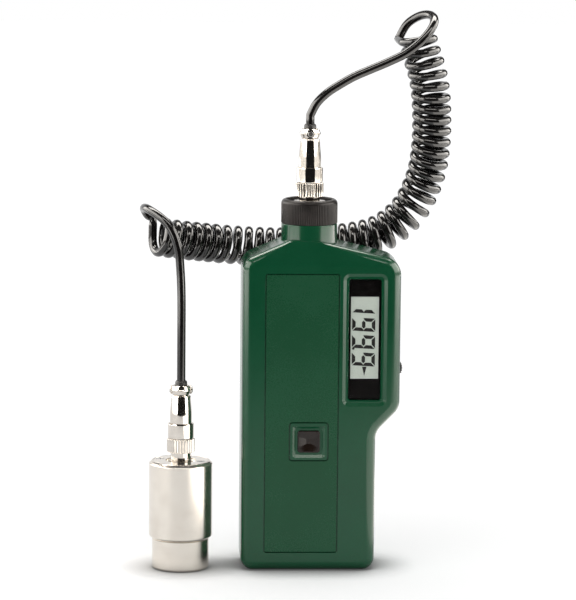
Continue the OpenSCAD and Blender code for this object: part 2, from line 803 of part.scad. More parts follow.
module label_stock(from, to, gap)
    plate((panel_right - panel_left) / 2, (panel_top + panel_bottom) / 2,
        panel_right + panel_left + 2 * gap, panel_top - panel_bottom + 2 * gap,
        display_r, from, to);

module label_panel() color(label_green) difference() {
    label_stock(front_y + panel_pocket - panel_t, front_y + panel_pocket, -play);
    plate(0, key_z, key_frame + 4 * play, key_frame + 4 * play, display_r + 2 * play,
        front_y - cut, front_y + cut);
}

// Key and push switch

module power_key() color(key_black) difference() {
    union() {
        plate(0, key_z, key_w, key_w, display_r, key_front, key_back);
        plate(0, key_z, key_flange, key_flange, display_r, key_back - key_flange_t, key_back);
    }
    translate([0, key_front - key_dish_r + key_dish_depth, key_z]) sphere(r = key_dish_r);
}

module switch_plunger() color("white")
    rod(0, key_z, plunger_r, key_back, switch_front + plunger_root);

module push_switch() color(key_black) difference() {
    plate(0, key_z, switch_w, switch_w, plunger_root, switch_front, board_front);
    rod(0, key_z, plunger_r + play, switch_front - cut, switch_front + plunger_root + key_travel + play);
}

// Display

module display_window() color([0.8, 0.9, 0.85, 0.3])
    plate(display_x, display_z, window_w + 2 * window_lap, window_h + 2 * window_lap, display_r,
        window_y, window_y + window_t);

module display_mask() color(key_black) difference() {
    plate(display_x, display_z, window_w + 2 * window_lap, window_h + 2 * window_lap, display_r,
        mask_y, mask_y + mask_t);
    plate(display_x, glass_view_z, glass_view_w, glass_view_h, mask_t, mask_y - cut, mask_y + cut);
}

module lcd_glass() color([0.72, 0.75, 0.7])
    plate(display_x, display_z, glass_w, glass_h, mask_t, glass_y, glass_back);

module lcd_frame() color("white") difference() {
    plate(display_x, display_z, glass_w + 2 * (lcd_wall + play), glass_h + 2 * (lcd_wall + play),
        display_r, glass_y, board_front);
    plate(display_x, display_z, glass_w + 2 * play, glass_h + 2 * play, mask_t,
        glass_y - cut, glass_back + play);
    plate(display_x, display_z, glass_w - 2 * lcd_wall, glass_h - 2 * lcd_wall, mask_t,
        glass_y - cut, board_front + cut);
}

module lcd_connectors() color([0.9, 0.6, 0.6]) for (x = [-1, 1])
    plate(display_x + x * (glass_w / 2 - lcd_wall - zebra_w / 2 - play), display_z, zebra_w,
        glass_h - 2 * (lcd_wall + glass_margin), mask_t, glass_back, board_front);

// Selector

module selector_knob() color(key_black) translate([0, selector_y, selector_z]) {
    crown_x = display_reach + selector_reach - selector_crown_r;
    foot_x = display_reach - selector_recess + play;
    intersection() {
        translate([foot_x, -selector_w / 2, -selector_h / 2])
            cube([selector_reach + selector_recess, selector_w, selector_h]);
        translate([crown_x, 0, 0]) rotate([90, 0, 0])
            cylinder(r = selector_crown_r - ridge_r, h = 2 * selector_w, center = true);
    }
    for (k = [0 : selector_ridges - 1])
        translate([crown_x, 0, 0]) rotate([0, (k - (selector_ridges - 1) / 2) * ridge_angle, 0])
            translate([selector_crown_r - ridge_r, 0, 0]) rotate([90, 0, 0])
            cylinder(r = ridge_r, h = selector_w, center = true);
    translate([slide_x - slide_channel + play, -selector_stem_w / 2, -selector_stem_h / 2])
        cube([foot_x - slide_x + slide_channel, selector_stem_w, selector_stem_h]);
}

module selector_switch() color(nickel) translate([0, selector_y, selector_z]) difference() {
    translate([slide_x - slide_depth, -slide_w / 2, -slide_h / 2]) cube([slide_depth, slide_w, slide_h]);
    translate([slide_x - slide_channel, -selector_stem_w / 2 - play,
        -selector_stem_h / 2 - selector_pitch - play])
        cube([slide_channel + cut, selector_stem_w + 2 * play,
            selector_stem_h + 2 * (selector_pitch + play)]);
}

// Main board and what is soldered to it

module main_board() color([0.05, 0.35, 0.2]) difference() {
    along_y(board_front, board_back) polygon([
        [-board_x, board_low], [board_x, board_low], [board_x, waist_z + board_turn / 2],
        [board_right, waist_z + 2 * board_turn], [board_right, board_top],
        [panel_right, board_top], [panel_right, board_left_top], [-board_x, board_left_top]
    ]);
    for (p = board_screw_places)
        rod(p[0], p[1], board_screw_r + play, board_front - cut, board_back + cut);
}

// Places on the board are shares of its width and height
chip_t = 1.6;
board_w = 2 * board_x;
board_h = board_top - board_low;
function board_across(share) = share * board_w - board_x;
function board_up(share) = board_low + share * board_h;
module board_box(x, z, w, h, t)
    translate([x - w / 2, board_back, z - h / 2]) cube([w, t, h]);

chip_shares = [
    [0.5, 0.76, 0.24, 0.11], [0.21, 0.82, 0.085, 0.07], [0.21, 0.71, 0.085, 0.07],
    [0.21, 0.6, 0.085, 0.07], [0.74, 0.6, 0.1, 0.04]
];
module board_chips() color(key_black) for (c = chip_shares)
    board_box(board_across(c[0]), board_up(c[1]), c[2] * board_w, c[3] * board_h, chip_t);

capacitor_r = 2.5;
capacitor_h = 7;
capacitor_shares = [[0.09, 0.76], [0.09, 0.65], [0.67, 0.48], [0.81, 0.48]];
module capacitors() color([0.1, 0.15, 0.4]) for (p = capacitor_shares)
    rod(board_across(p[0]), board_up(p[1]), capacitor_r, board_back, board_back + capacitor_h);

trimmer_w = 6;
trimmer_shares = [[0.94, 0.88], [0.94, 0.8]];
trimmer_slot = 0.8;
module trimmers() color([0.1, 0.3, 0.7]) for (p = trimmer_shares) difference() {
    board_box(board_across(p[0]), board_up(p[1]), trimmer_w, trimmer_w, trimmer_w - chip_t);
    translate([board_across(p[0]) - trimmer_w / 4, board_back + trimmer_w - chip_t - trimmer_slot,
        board_up(p[1]) - trimmer_slot / 2]) cube([trimmer_w / 2, cut, trimmer_slot]);
}

// Battery and its leads

battery_r = 2;
terminal_r = 3.2;
terminal_x = 6.4;
module battery() color([0.2, 0.2, 0.22]) {
    z = bay_z + bay_slack / 2;
    translate([battery_x, (battery_front + battery_back) / 2, z]) linear_extrude(battery_h)
        round_rect(battery_w, battery_t, battery_r);
}

module battery_snap() color(key_black) {
    z = bay_z + bay_slack / 2 + battery_h;
    translate([battery_x, (battery_front + battery_back) / 2, z]) {
        for (x = [-1, 1]) translate([x * terminal_x, 0, 0]) cylinder(r = terminal_r, h = snap_h / 2);
        translate([0, 0, snap_h / 2]) linear_extrude(snap_h / 2)
            round_rect(battery_w - 2 * battery_r, battery_t - 2 * battery_r, battery_r);
    }
}

wire_r = 0.6;
wire_sides = 8;
lead_x = 3;
lead_y = (battery_front + battery_back) / 2;
snap_top = bay_z + bay_slack / 2 + battery_h + snap_h;
module battery_leads() color("crimson") for (x = [-1, 1]) {
    pts = [
        [x * lead_x, lead_y, snap_top], [x * lead_x, lead_y, snap_top + 2 * lead_x],
        [x * lead_x, lead_y - lead_x / 2, snap_top + 3 * lead_x],
        [x * lead_x, board_back + lead_x, snap_top + 4 * lead_x],
        [x * lead_x, board_back, snap_top + 4 * lead_x]
    ];
    tube(pts, across(pts), wire_r, wire_sides);
}

module socket_leads() color("gold") for (x = [-1, 1]) {
    top = meter_plug_z + spigot_low - play - socket_insert_h - pin_reach;
    at = pin_ring * cos(45);
    pts = [
        [x * at, -at, top], [x * at, -at, top - 2 * lead_x],
        [x * lead_x, board_back / 2, (top + board_left_top) / 2],
        [x * lead_x, board_back + lead_x, board_left_top - lead_x],
        [x * lead_x, board_back, board_left_top - lead_x]
    ];
    tube(pts, across(pts), wire_r, wire_sides);
}

// Screws, with a cross cut in the head

module screw(x, z, r, from, head_r, head_h, length) difference() {
    union() {
        rod(x, z, r, from - head_h - length, from - head_h);
        rod(x, z, head_r, from - head_h, from);
    }
    for (a = [0, 90]) translate([x, from, z]) rotate([0, a, 0])
        cube([head_r, head_h, head_r / 4], center = true);
}

module case_screws() color(nickel) for (p = case_screw_places)
    screw(p[0], p[1], case_screw_r, case_head_y, case_screw_head_r, case_screw_head_h, case_screw_len);

module board_screws() color(nickel) for (p = board_screw_places)
    screw(p[0], p[1], board_screw_r, board_back + board_screw_head_h, board_screw_head_r,
        board_screw_head_h, board_screw_len);

// Pieces of one plug, with z = 0 at the bottom of its nut

nut_chamfer = 0.4;
module plug_nut() color(nickel) difference() {
    rotate_extrude() polygon([
        [socket_r + play, 0], [nut_r - nut_chamfer, 0], [nut_r, nut_chamfer],
        [nut_r, nut_h - nut_chamfer], [nut_r - nut_chamfer, nut_h],
        [lip_r, nut_h], [lip_r, lip_low], [socket_r + play, lip_low]
    ]);
    for (k = [0 : nut_flutes - 1]) rotate([0, 0, 360 * k / nut_flutes])
        translate([nut_r, 0, -cut]) cylinder(r = flute_r, h = nut_h + 2 * cut);
}

module plug_barrel() color(nickel) rotate_extrude() polygon([
    [spigot_r - spigot_wall, spigot_low], [spigot_r, spigot_low], [spigot_r, ring_low],
    [ring_r, ring_low], [ring_r, ring_low + ring_h], [spigot_r, ring_low + ring_h],
    [spigot_r, barrel_low], [barrel_r - barrel_chamfer, barrel_low],
    [barrel_r, barrel_low + barrel_chamfer], [barrel_r, barrel_top - barrel_chamfer],
    [barrel_r - barrel_chamfer, barrel_top], [stub_r - slip, barrel_top],
    [stub_r - slip, barrel_top + stub_h], [spigot_r - spigot_wall, barrel_top + stub_h]
]);

module plug_tail() color(nickel) rotate_extrude() polygon([
    [stub_r, barrel_top], [tail_r, barrel_top], [tail_r, barrel_top + tail_h * tail_straight_share],
    [tail_top_r, tail_top - barrel_chamfer], [tail_top_r - barrel_chamfer, tail_top],
    [tail_bore_r, tail_top], [tail_bore_r, clamp_top - play], [throat_r, clamp_top - play],
    [throat_r, tail_top - throat_h], [tail_bore_r, tail_top - 2 * throat_h],
    [tail_bore_r, barrel_top + stub_h + play], [stub_r, barrel_top + stub_h + play]
]);

module plug_insert() color(collar_black) difference() {
    union() {
        translate([0, 0, insert_low]) cylinder(r = insert_r, h = insert_top - insert_low);
        translate([0, 0, insert_top]) cylinder(r = cord_d / 2, h = cord_seat - insert_top);
    }
    insert_pins() translate([0, 0, insert_low - cut])
        cylinder(r = pin_r + slip, h = pin_reach + 2 * cut + play);
}

module plug_clamp(turn) color(nickel) difference() {
    rotate_extrude() polygon([
        [clamp_bore_r, clamp_low], [clamp_r - clamp_waist, clamp_low],
        [clamp_r, clamp_low + clamp_h * belt_share], [clamp_r, clamp_top - clamp_h * belt_share],
        [clamp_r - clamp_waist, clamp_top], [clamp_bore_r, clamp_top]
    ]);
    rotate([0, 0, turn]) clamp_axis() {
        cylinder(r = clamp_screw_r + slip, h = 2 * clamp_r);
        translate([0, 0, clamp_r - clamp_head_h]) cylinder(r = clamp_head_r + slip, h = clamp_r);
    }
}

module clamp_axis() for (side = [0, 180])
    rotate([0, 0, side]) translate([0, 0, (clamp_low + clamp_top) / 2]) rotate([90, 0, 0]) children();

module plug_screws(turn) color(nickel) rotate([0, 0, turn]) clamp_axis() difference() {
    union() {
        translate([0, 0, tail_bore_r + slip])
            cylinder(r = clamp_screw_r, h = clamp_r - tail_bore_r - clamp_head_h / 2);
        translate([0, 0, clamp_r - clamp_head_h]) cylinder(r = clamp_head_r, h = 2 * clamp_head_h);
    }
    translate([0, 0, clamp_r + clamp_head_h])
        cube([clamp_screw_r / 2, 2 * clamp_head_r + cut, clamp_head_h], center = true);
}

module plug_sleeve() color(cord_black) rotate_extrude() polygon([
    [cord_d / 2 + slip, clamp_top - sleeve_depth], [throat_r - slip, clamp_top - sleeve_depth],
    [throat_r - slip, clamp_top], [sleeve_head_r, clamp_top], [sleeve_head_r, sleeve_top - play],
    [sleeve_head_r - play, sleeve_top], [cord_d / 2 + slip, sleeve_top]
]);

// Cord

module meter_lead() color(cord_black) tube(meter_path, across(meter_path), cord_d / 2, lead_sides);
module cord_coil() color(cord_black) tube(coil_path, coil_outs, cord_d / 2, curl_sides);
module sensor_lead() color(cord_black) tube(sensor_path, across(sensor_path), cord_d / 2, lead_sides);

// Sensor, with its axis at the origin and its base at z = 0

housing_chamfer = 1.3;
stack_rise = 5;
stack_floor = magnet_h + stack_rise;
cap_low = sensor_z - cap_t;
stud_r = 2.5;
stud_h = 9;
stud_depth = 4;
groove_rim = 0.7;
groove_in_r = socket_r + groove_rim;
groove_out_r = 7.3;
groove_depth = 1;
cap_screw_r = 1;
cap_screw_head_r = 1.9;
cap_screw_head_h = 1.2;
cap_screw_len = 7;
cap_screw_turn = -20;
post_r = 2;
crystal_r = 6;
crystal_t = 1.6;
plate_t = 0.4;
mass_r = 7.2;
mass_h = 9;
preload_h = 3;
preload_r = 4;
stack_gap = 0.3;
magnet_wall = 2.4;
magnet_t = 6.6;
magnet_recess = 0.4;
pole_r = 5.4;

module at_sensor() translate([sensor_x, sensor_y, 0]) children();

module chamfered(r, low, high, chamfer) rotate_extrude() polygon([
    [0, low], [r - chamfer, low], [r, low + chamfer], [r, high - chamfer], [r - chamfer, high], [0, high]
]);

module cap_screw_axes() for (a = [0, 180])
    rotate([0, 0, cap_screw_turn + a]) translate([cap_screw_ring, 0, 0]) children();

module sensor_housing() color(nickel) at_sensor() difference() {
    chamfered(sensor_r, magnet_h + play, sensor_z, housing_chamfer);
    translate([0, 0, stack_floor]) cylinder(r = hollow_r, h = sensor_z);
    translate([0, 0, cap_low]) cylinder(r = cap_r + slip, h = sensor_z);
    translate([0, 0, -cut]) cylinder(r = stud_r + slip, h = magnet_h + stud_depth + cut + play);
    translate([0, 0, stack_floor - cut]) cylinder(r = post_r + slip, h = 2 * cut);
    cap_screw_axes() translate([0, 0, sensor_z - cap_screw_head_h - cap_screw_len - play])
        cylinder(r = cap_screw_r + slip, h = sensor_z);
}

module sensor_cap() color(nickel) at_sensor() difference() {
    translate([0, 0, cap_low]) cylinder(r = cap_r, h = cap_t);
    translate([0, 0, cap_low - cut]) cylinder(r = socket_r + slip, h = cap_t + 2 * cut);
    translate([0, 0, sensor_z - groove_depth]) difference() {
        cylinder(r = groove_out_r, h = cap_t);
        translate([0, 0, -cut]) cylinder(r = groove_in_r, h = 2 * cap_t);
    }
    cap_screw_axes() {
        translate([0, 0, cap_low - cut]) cylinder(r = cap_screw_r + slip, h = 2 * cap_t);
        translate([0, 0, sensor_z - cap_screw_head_h]) cylinder(r = cap_screw_head_r + play, h = cap_t);
    }
}

module cap_screws() color(nickel) at_sensor() cap_screw_axes() difference() {
    union() {
        translate([0, 0, sensor_z - cap_screw_head_h - cap_screw_len])
            cylinder(r = cap_screw_r, h = cap_screw_len + slip);
        translate([0, 0, sensor_z - cap_screw_head_h]) cylinder(r = cap_screw_head_r, h = cap_screw_head_h);
    }
    translate([0, 0, sensor_z])
        cube([2 * cap_screw_head_r + cut, cap_screw_r / 2, cap_screw_head_h], center = true);
}

module sensor_post() color(nickel) at_sensor() translate([0, 0, stack_floor - cut])
    cylinder(r = post_r, h = cut + 2 * crystal_t + plate_t + mass_h + preload_h + stack_gap);

module stack_ring(low, outer, height) at_sensor() translate([0, 0, low]) difference() {
    cylinder(r = outer, h = height);
    translate([0, 0, -cut]) cylinder(r = post_r + slip, h = height + 2 * cut);
}

plate_low = stack_floor + crystal_t;
mass_low = plate_low + plate_t + crystal_t;
module crystal_rings() color([0.85, 0.82, 0.7]) {
    stack_ring(stack_floor, crystal_r, crystal_t);
    stack_ring(plate_low + plate_t, crystal_r, crystal_t);
}
module electrode_plate() color([0.8, 0.6, 0.2]) stack_ring(plate_low, crystal_r, plate_t);
module seismic_mass() color([0.7, 0.55, 0.25]) stack_ring(mass_low, mass_r, mass_h);
module preload_nut() color(nickel) at_sensor() translate([0, 0, mass_low + mass_h]) difference() {
    cylinder(r = preload_r, h = preload_h, $fn = 6);
    translate([0, 0, -cut]) cylinder(r = post_r + slip, h = preload_h + 2 * cut);
}

module mounting_stud() color(nickel) at_sensor()
    translate([0, 0, magnet_h + stud_depth - stud_h]) cylinder(r = stud_r, h = stud_h);

module magnet_cup() color(nickel) at_sensor() difference() {
    chamfered(magnet_r, 0, magnet_h, housing_chamfer);
    translate([0, 0, magnet_h + stud_depth - stud_h - play]) cylinder(r = stud_r + play, h = magnet_h);
    translate([0, 0, -cut]) difference() {
        cylinder(r = magnet_r - magnet_wall, h = cut + magnet_recess + magnet_t + slip);
        translate([0, 0, -cut]) cylinder(r = pole_r, h = 2 * magnet_h);
    }
}

module ring_magnet() color([0.2, 0.2, 0.2]) at_sensor() translate([0, 0, magnet_recess]) difference() {
    cylinder(r = magnet_r - magnet_wall - slip, h = magnet_t);
    translate([0, 0, -cut]) cylinder(r = pole_r + slip, h = magnet_t + 2 * cut);
}

front_shell();
rear_shell();
battery_cover();
top_collar();
translate(meter_plug) socket(collar_under - meter_plug_z);  // meter_socket
socket_nut();
translate(meter_plug) contact_insert();  // socket_insert
label_panel();
power_key();
switch_plunger();
push_switch();
display_window();
display_mask();
lcd_glass();
lcd_frame();
lcd_connectors();
selector_knob();
selector_switch();
main_board();
board_chips();
capacitors();
trimmers();
battery();
battery_snap();
battery_leads();
socket_leads();
case_screws();
board_screws();
translate(meter_plug) plug_nut();  // meter_plug_nut
translate(meter_plug) plug_barrel();  // meter_plug_barrel
translate(meter_plug) plug_tail();  // meter_plug_tail
translate(meter_plug) plug_insert();  // meter_plug_insert
translate(meter_plug) plug_clamp(meter_clamp_turn);  // meter_plug_clamp
translate(meter_plug) plug_screws(meter_clamp_turn);  // meter_plug_screws
translate(meter_plug) plug_sleeve();  // meter_plug_sleeve
translate(sensor_plug) plug_nut();  // sensor_plug_nut
translate(sensor_plug) plug_barrel();  // sensor_plug_barrel
translate(sensor_plug) plug_tail();  // sensor_plug_tail
translate(sensor_plug) plug_insert();  // sensor_plug_insert
translate(sensor_plug) plug_clamp(sensor_clamp_turn);  // sensor_plug_clamp
translate(sensor_plug) plug_screws(sensor_clamp_turn);  // sensor_plug_screws
translate(sensor_plug) plug_sleeve();  // sensor_plug_sleeve
meter_lead();
cord_coil();
sensor_lead();
sensor_housing();
sensor_cap();
cap_screws();
translate(sensor_plug) socket(cap_low - sensor_plug_z);  // sensor_socket
translate(sensor_plug) contact_insert();  // sensor_insert
sensor_post();
crystal_rings();
electrode_plate();
seismic_mass();
preload_nut();
mounting_stud();
magnet_cup();
ring_magnet();
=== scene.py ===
import math

import bmesh
import bpy
from mathutils import Matrix, Vector


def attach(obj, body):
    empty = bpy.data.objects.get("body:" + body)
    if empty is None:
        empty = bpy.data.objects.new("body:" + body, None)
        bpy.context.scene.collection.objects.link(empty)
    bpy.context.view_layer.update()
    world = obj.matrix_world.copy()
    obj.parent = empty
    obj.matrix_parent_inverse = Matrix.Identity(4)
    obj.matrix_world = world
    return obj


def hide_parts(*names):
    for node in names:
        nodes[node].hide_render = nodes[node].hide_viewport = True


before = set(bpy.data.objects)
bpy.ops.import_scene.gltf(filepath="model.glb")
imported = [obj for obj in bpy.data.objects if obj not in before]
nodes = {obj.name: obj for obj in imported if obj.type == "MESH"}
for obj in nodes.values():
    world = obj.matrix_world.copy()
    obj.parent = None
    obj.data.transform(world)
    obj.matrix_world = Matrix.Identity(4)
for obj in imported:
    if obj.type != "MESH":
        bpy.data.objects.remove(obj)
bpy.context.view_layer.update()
millimetre = 0.001  # the pieces are drawn in millimetres, then made this much smaller
print("frame loaded")

# Camera, as fitted to the photograph
cameraView = {
    "azimuth": -2.8, "elevation": 8.3, "roll": 0.55, "distance": 1.6945,
    "target": (-0.0099, 0.0, 0.1305), "lens": 210.0, "film": 36.0, "nearest": 0.05, "farthest": 20,
}


def placeCamera(view):
    azimuth, elevation = math.radians(view["azimuth"]), math.radians(view["elevation"])
    ahead = Vector((-math.sin(azimuth) * math.cos(elevation),
                    math.cos(azimuth) * math.cos(elevation), -math.sin(elevation)))
    right = Vector((math.cos(azimuth), math.sin(azimuth), 0))
    turned = Matrix((right, right.cross(ahead), -ahead)).transposed()
    turned = turned @ Matrix.Rotation(math.radians(view["roll"]), 3, "Z")
    data = bpy.data.cameras.new("photoCamera")
    data.lens, data.sensor_width, data.sensor_fit = view["lens"], view["film"], "AUTO"
    data.clip_start, data.clip_end = view["nearest"], view["farthest"]
    camera = bpy.data.objects.new("photoCamera", data)
    place = Vector(view["target"]) - view["distance"] * ahead
    camera.matrix_world = Matrix.Translation(place) @ turned.to_4x4()
    bpy.context.collection.objects.link(camera)
    bpy.context.scene.camera = camera


placeCamera(cameraView)
print("camera placed")


class Signal:
    # an output of a node; sums and products of it add Math nodes
    def __init__(self, tree, socket):
        self.tree, self.socket = tree, socket

    def maths(self, operation, other):
        return self.tree.node("ShaderNodeMath", {"operation": operation}, {0: self, 1: other})

    def __add__(self, other):
        return self.maths("ADD", other)

    def __mul__(self, other):
        return self.maths("MULTIPLY", other)

    __radd__ = __add__
    __rmul__ = __mul__


class NodeTree:
    # the nodes of a material or of the world, which end in one surface
    def __init__(self, owner, output="ShaderNodeOutputMaterial"):
        self.owner = owner
        owner.use_nodes = True
        self.tree = owner.node_tree
        self.tree.nodes.clear()
        self.output = self.tree.nodes.new(output)

    def node(self, kind, settings, inputs, output=0):
        made = self.tree.nodes.new(kind)
        for key, value in settings.items():
            setattr(made, key, value)
        for key, value in inputs.items():
            if isinstance(value, Signal):
                self.tree.links.new(value.socket, made.inputs[key])
            else:
                made.inputs[key].default_value = value
        return Signal(self, made.outputs[output])

    def levels(self, signal, low, high, start=0.0, end=1.0):
        return self.node("ShaderNodeMapRange", {"clamp": True}, {
            "Value": signal, "From Min": low, "From Max": high, "To Min": start, "To Max": end,
        })

    def show(self, surface):
        self.tree.links.new(surface.socket, self.output.inputs["Surface"])


def opaque(colour):
    return colour if isinstance(colour, Signal) else (*colour, 1)


class Finish(NodeTree):
    # a material with one principled shader
    def __init__(self, name, look):
        super().__init__(bpy.data.materials.new(name))
        surface = self.node("ShaderNodeBsdfPrincipled", {}, look)
        self.shader = surface.socket.node
        self.show(surface)
        self.place = self.node("ShaderNodeTexCoord", {}, {}, "Object")

    def feed(self, socket, signal):
        self.tree.links.new(signal.socket, self.shader.inputs[socket])

    def noise(self, size, detail=3.0, stretch=(1, 1, 1)):
        # size is that of one blot, in millimetres
        scale = [1 / (millimetre * size * s) for s in stretch]
        place = self.node("ShaderNodeVectorMath", {"operation": "MULTIPLY"},
                          {0: self.place, 1: scale})
        return self.node("ShaderNodeTexNoise", {}, {
            "Vector": place, "Scale": 1.0, "Detail": detail, "Roughness": 0.5}, "Fac")

    def blend(self, share, first, second):
        return self.node("ShaderNodeMix", {"data_type": "RGBA"},
                         {0: share, 6: opaque(first), 7: opaque(second)}, 2)

    def bump(self, height, depth, strength=1.0, under=None):
        sockets = {"Height": height, "Distance": depth * millimetre, "Strength": strength}
        if under:
            sockets["Normal"] = under
        return self.node("ShaderNodeBump", {}, sockets, "Normal")

    def paint(self, look, tone, sheen):
        # tone moves the colour from dark to light, and sheen the roughness about its middle
        share, rough, spread = self.levels(tone, 0.35, 0.65), look["roughness"], look["spread"]
        self.feed("Base Color", self.blend(share, look["dark"], look["light"]))
        self.feed("Roughness", self.levels(sheen, 0.3, 0.7, rough - spread, rough + spread))


def mouldedPlastic(name, look):
    finish = Finish(name, {"Specular IOR Level": look["specular"]})
    cloud = finish.noise(look["cloud"], 4.0)
    speck = finish.noise(look["grain"] * 2.5, 2.0)
    finish.paint(look, cloud * 0.7 + speck * 0.3, cloud * 0.6 + speck * 0.4)
    pits = finish.bump(finish.noise(look["grain"], 2.0), look["grainDepth"], 0.6)
    wave = finish.noise(look["cloud"] * 0.8, 1.0)
    finish.feed("Normal", finish.bump(wave, look["sink"], 0.5, pits))
    return finish


def turnedMetal(name, look):
    finish = Finish(name, {"Metallic": 1.0, "Specular IOR Level": 0.5})
    stain = finish.noise(look["cloud"], 4.0)
    lines = finish.noise(look["line"], 2.0, (40, 40, 1))
    grain = finish.noise(look["grain"], 2.0)
    finish.paint(look, stain * 0.5 + lines * 0.3 + grain * 0.2,
                 stain * 0.4 + lines * 0.3 + grain * 0.3)
    scratches = finish.bump(lines, look["lineDepth"], 0.7)
    finish.feed("Normal", finish.bump(grain, look["grainDepth"], 0.6, scratches))
    return finish


# Sizes in millimetres: cloud and grain are blots of colour and of roughness, sink is a soft wave
plainPlastic = {"grain": 0.2, "grainDepth": 0.01, "sink": 0.02, "spread": 0.05, "specular": 0.5}
plasticLooks = {
    "caseGreen": {"dark": (0.0002, 0.056, 0.02), "light": (0.0008, 0.068, 0.026), "cloud": 28,
        "grain": 0.3, "grainDepth": 0.004, "roughness": 0.2, "spread": 0.03, "specular": 0.42},
    "labelGreen": {"dark": (0.003, 0.059, 0.021), "light": (0.005, 0.073, 0.029), "cloud": 40,
        "grain": 0.18, "grainDepth": 0.008, "roughness": 0.27, "specular": 0.3},
    "collarBlack": {"dark": (0.006, 0.0045, 0.004), "light": (0.02, 0.0155, 0.0135), "cloud": 6,
        "grain": 0.25, "grainDepth": 0.015, "roughness": 0.34, "spread": 0.06, "specular": 0.2},
    "keyBlack": {"dark": (0.008, 0.004, 0.0025), "light": (0.015, 0.008, 0.005), "cloud": 5,
        "grain": 0.15, "grainDepth": 0.004, "sink": 0.01, "roughness": 0.2, "spread": 0.04,
        "specular": 0.36},
    "blackPlastic": {"dark": (0.006, 0.006, 0.006), "light": (0.014, 0.013, 0.012), "cloud": 6,
        "grain": 0.22, "roughness": 0.35, "spread": 0.06},
    "maskBlack": {"dark": (0.0035, 0.003, 0.003), "light": (0.0075, 0.006, 0.0055), "cloud": 3,
        "grain": 0.12, "grainDepth": 0.001, "sink": 0.002, "roughness": 0.2, "spread": 0.03,
        "specular": 0.1},
    "digitInk": {"dark": (0.003, 0.003, 0.003), "light": (0.007, 0.007, 0.006), "cloud": 4,
        "grain": 0.12, "grainDepth": 0.001, "sink": 0.002, "roughness": 0.4, "spread": 0.04},
    "whitePlastic": {"dark": (0.62, 0.61, 0.57), "light": (0.72, 0.71, 0.68), "cloud": 8,
        "grain": 0.3, "roughness": 0.45},
    "siliconePink": {"dark": (0.5, 0.25, 0.24), "light": (0.66, 0.36, 0.34), "cloud": 2,
        "roughness": 0.55},
    "capacitorBlue": {"dark": (0.012, 0.018, 0.1), "light": (0.02, 0.03, 0.15), "cloud": 5,
        "grainDepth": 0.004, "roughness": 0.3},
    "trimmerBlue": {"dark": (0.02, 0.09, 0.4), "light": (0.03, 0.13, 0.5), "cloud": 4,
        "grain": 0.25, "grainDepth": 0.008, "roughness": 0.4},
    "batteryWrap": {"dark": (0.02, 0.021, 0.024), "light": (0.035, 0.036, 0.04), "cloud": 9,
        "grain": 0.3, "grainDepth": 0.006, "sink": 0.06, "roughness": 0.28, "spread": 0.06},
    "wireRed": {"dark": (0.3, 0.01, 0.008), "light": (0.42, 0.02, 0.014), "cloud": 4,
        "grainDepth": 0.006, "roughness": 0.4},
    "wireGrey": {"dark": (0.17, 0.17, 0.17), "light": (0.26, 0.26, 0.25), "cloud": 4,
        "grainDepth": 0.006, "roughness": 0.4},
    "cordBlack": {"dark": (0.0035, 0.003, 0.003), "light": (0.008, 0.0065, 0.006), "cloud": 7,
        "grain": 0.5, "grainDepth": 0.0012, "roughness": 0.12, "spread": 0.03, "specular": 0.6},
    "sleeveBlack": {"dark": (0.008, 0.007, 0.0065), "light": (0.02, 0.018, 0.016), "cloud": 3,
        "grainDepth": 0.012, "roughness": 0.42, "spread": 0.06},
    "crystal": {"dark": (0.56, 0.52, 0.41), "light": (0.68, 0.64, 0.54), "cloud": 2, "grain": 0.15,
        "sink": 0.01, "roughness": 0.6, "spread": 0.06},
    "magnetDark": {"dark": (0.018, 0.018, 0.02), "light": (0.035, 0.035, 0.038), "cloud": 4,
        "grainDepth": 0.02, "roughness": 0.55, "spread": 0.08},
}
metalLooks = {
    "nickel": {"dark": (0.55, 0.51, 0.46), "light": (0.68, 0.64, 0.59), "cloud": 5, "line": 0.12,
        "grain": 0.1, "lineDepth": 0.0012, "grainDepth": 0.0006, "roughness": 0.1, "spread": 0.04},
    "nickelSatin": {"dark": (0.63, 0.58, 0.52), "light": (0.74, 0.7, 0.64), "cloud": 9,
        "line": 0.16, "grain": 0.14, "lineDepth": 0.004, "grainDepth": 0.004, "roughness": 0.2,
        "spread": 0.04},
    "steel": {"dark": (0.42, 0.41, 0.4), "light": (0.6, 0.59, 0.57), "cloud": 3, "line": 0.2,
        "grain": 0.15, "lineDepth": 0.003, "grainDepth": 0.004, "roughness": 0.3, "spread": 0.07},
    "brass": {"dark": (0.5, 0.33, 0.11), "light": (0.66, 0.47, 0.2), "cloud": 4, "line": 0.2,
        "grain": 0.15, "lineDepth": 0.004, "grainDepth": 0.003, "roughness": 0.26, "spread": 0.06},
}
finishes = {name: mouldedPlastic(name, {**plainPlastic, **look})
            for name, look in plasticLooks.items()}
finishes.update({name: turnedMetal(name, look) for name, look in metalLooks.items()})

windowLook = {"haze": 6, "dark": (0.004, 0.005, 0.005), "light": (0.012, 0.013, 0.013),
              "roughness": (0.03, 0.09), "alpha": (0.05, 0.08)}
displayLook = {"right": 0.0333, "low": 0.0941, "edge": 0.0006, "paintedLightShare": 0.7, "cloud": 5,
               "dark": (0.66, 0.73, 0.64), "light": (0.72, 0.79, 0.7), "pale": (0.86, 0.9, 0.86),
               "roughness": (0.25, 0.35)}
boardLook = {"trackScale": 130.0, "padScale": 260.0, "dark": (0.004, 0.09, 0.03),
             "light": (0.012, 0.17, 0.06), "solder": (0.6, 0.6, 0.58), "roughness": (0.3, 0.42)}


